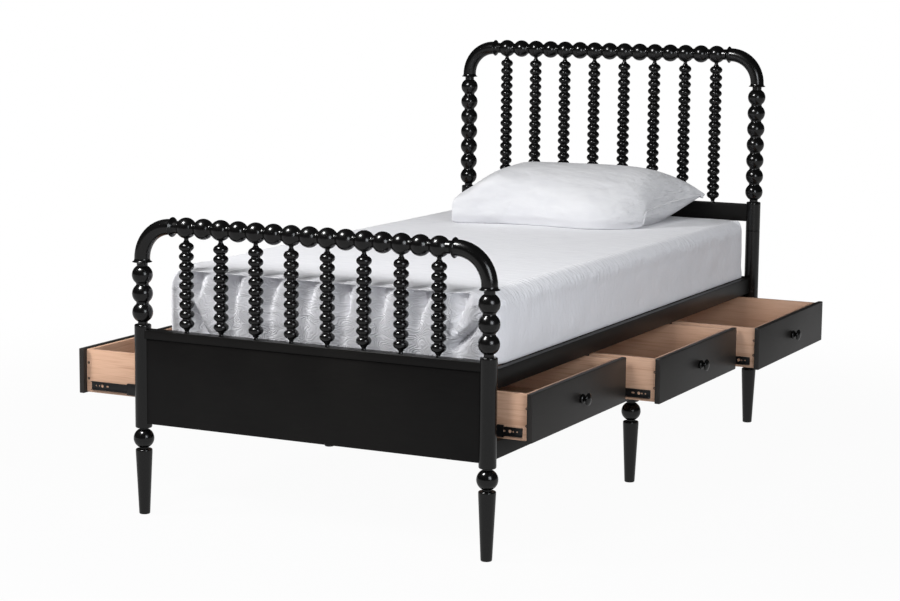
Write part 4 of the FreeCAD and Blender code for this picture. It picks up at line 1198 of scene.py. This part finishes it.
FLOOR_SIZE, HAZE_SCALE = 40, 0.6                # in metres, and in slow changes of tone to a metre
MIRRORED_FLOOR, MIRRORED_WORLD = 0.5, 0.03      # how bright the lacquer sees them
white_floor, tree, shader, place = material("white studio floor")
haze = node(tree, "TexNoise", {"Vector": place, "Scale": HAZE_SCALE})
pale = node(tree, "ValToRGB", {"Fac": haze}, stops=[(0.3, "#A6A6A9"), (0.7, "#ACACAE")])
feed(tree, shader, {"Base Color": pale, "Roughness": 0.9})
from_bed = node(tree, "VectorMath", {0: place}, operation="LENGTH")
fade = node(tree, "MapRange", {"Value": from_bed.outputs["Value"], "From Min": 1.4, "From Max": 3.2,
                               "To Min": 0.96, "To Max": 1.0}, interpolation_type="SMOOTHSTEP")
whitened = to_camera_white(tree, shader, fade, MIRRORED_FLOOR)
feed(tree, tree.nodes["Material Output"], {"Surface": whitened})
clear()
bpy.ops.mesh.primitive_plane_add(size=FLOOR_SIZE, location=(0, 0, 0))
sweep = bpy.context.object
sweep.name = "studio_floor"
paint(sweep, white_floor)
sweep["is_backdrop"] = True

world = bpy.data.worlds.new("studio")
bpy.context.scene.world = world
world.use_nodes = True
tree = world.node_tree
dim = tree.nodes["Background"]
facing = node(tree, "VectorMath", {0: tree.nodes.new("ShaderNodeTexCoord").outputs["Generated"],
                                   1: (1, 0, 0)}, operation="DOT_PRODUCT")
glow = node(tree, "MapRange", {"Value": facing.outputs["Value"], "To Min": 0.08, "To Max": 0.8})
feed(tree, dim, {"Color": (0.98, 0.985, 1.0, 1), "Strength": glow})
feed(tree, tree.nodes["World Output"], {"Surface": to_camera_white(tree, dim, 1.0, MIRRORED_WORLD)})

# %% [markdown]
# An area lamp stands for a softbox: the larger it is, the softer are the edges of its shadows. Each
# lamp has one job here. So the two that model the cloth are hidden from mirrored rays, and the one
# that is only meant to be mirrored is hidden from diffuse ones.

# %% Lamps
def softbox(name, place, target, width, height, power, colour=(1, 1, 1)):
    """An area lamp aimed at a point."""
    clear()
    bpy.ops.object.light_add(type="AREA", location=place)
    lamp = bpy.context.object
    lamp.name = name
    lamp.data.shape = "RECTANGLE"
    lamp.data.size, lamp.data.size_y = width, height
    lamp.data.energy = power
    lamp.data.color = colour
    lamp.rotation_euler = (Vector(target) - Vector(place)).to_track_quat("-Z", "Y").to_euler()
    print(name, power, "W")
    return lamp


# Each lamp: its place, the point it is aimed at, its width and height in metres, its power.
left_lamp = softbox("left_softbox", (-2.8, -2.7, 2.8), (0.0, -0.3, 0.6), 1.1, 0.9, 128)
front_lamp = softbox("front_softbox", (-0.2, -4.0, 3.1), (0.0, -0.3, 0.6), 1.1, 1.5, 98)
key_lamp = softbox("key_window", (-1.0, -2.2, 3.2), (0.0, -0.5, 0.6), 0.8, 0.7, 125)
softbox("side_softbox", (2.9, -2.6, 1.7), (0.3, -0.5, 0.6), 1.3, 1.5, 46, (0.92, 0.96, 1.0))
left_lamp.visible_glossy = front_lamp.visible_glossy = key_lamp.visible_diffuse = False

# %% [markdown]
# ## Camera
# The camera's place and turn come from a fit of the ball centres, posts and drawer corners to the
# photograph. It stands in front of the foot board and to its right, 1.5 m up, and looks down by 8.6
# degrees. The lens is long, which keeps the posts nearly upright. The matrix is built from the
# three angles: heading, pitch and a half degree of roll.

# %% Camera
HEADING, PITCH_DOWN, ROLL = (math.radians(value) for value in (-26.441, 8.599, 0.57))
FOCAL_PIXELS, PICTURE_WIDTH, SENSOR = 2277.1, 900, 36
EYE, FAR = (2.8885, -5.9841, 1.4948), 100
forward = Vector((math.sin(HEADING) * math.cos(PITCH_DOWN), math.cos(HEADING) * math.cos(PITCH_DOWN),
                  -math.sin(PITCH_DOWN)))
level = Vector((math.cos(HEADING), -math.sin(HEADING), 0))
upward = level.cross(forward)
right = math.cos(ROLL) * level + math.sin(ROLL) * upward
above = -math.sin(ROLL) * level + math.cos(ROLL) * upward
clear()
bpy.ops.object.camera_add(location=EYE)
camera = bpy.context.object
turned = Matrix((right, above, -forward)).transposed()
camera.rotation_euler = turned.to_euler()
camera.data.sensor_width = SENSOR
camera.data.lens = FOCAL_PIXELS * SENSOR / PICTURE_WIDTH
camera.data.clip_end = FAR
bpy.context.scene.camera = camera
bpy.context.scene.view_settings.view_transform = "Standard"
print("lens", round(camera.data.lens, 1), "mm")

# %% [markdown]
# ## Sizes
# The box that the dressed bed fills is printed, in mm. The dressed bed has to fill the
# same box as the solids.

# %% Sizes
low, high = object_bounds()
print("dressed box in mm:", [round((b - a) / MM) for a, b in zip(low, high)])
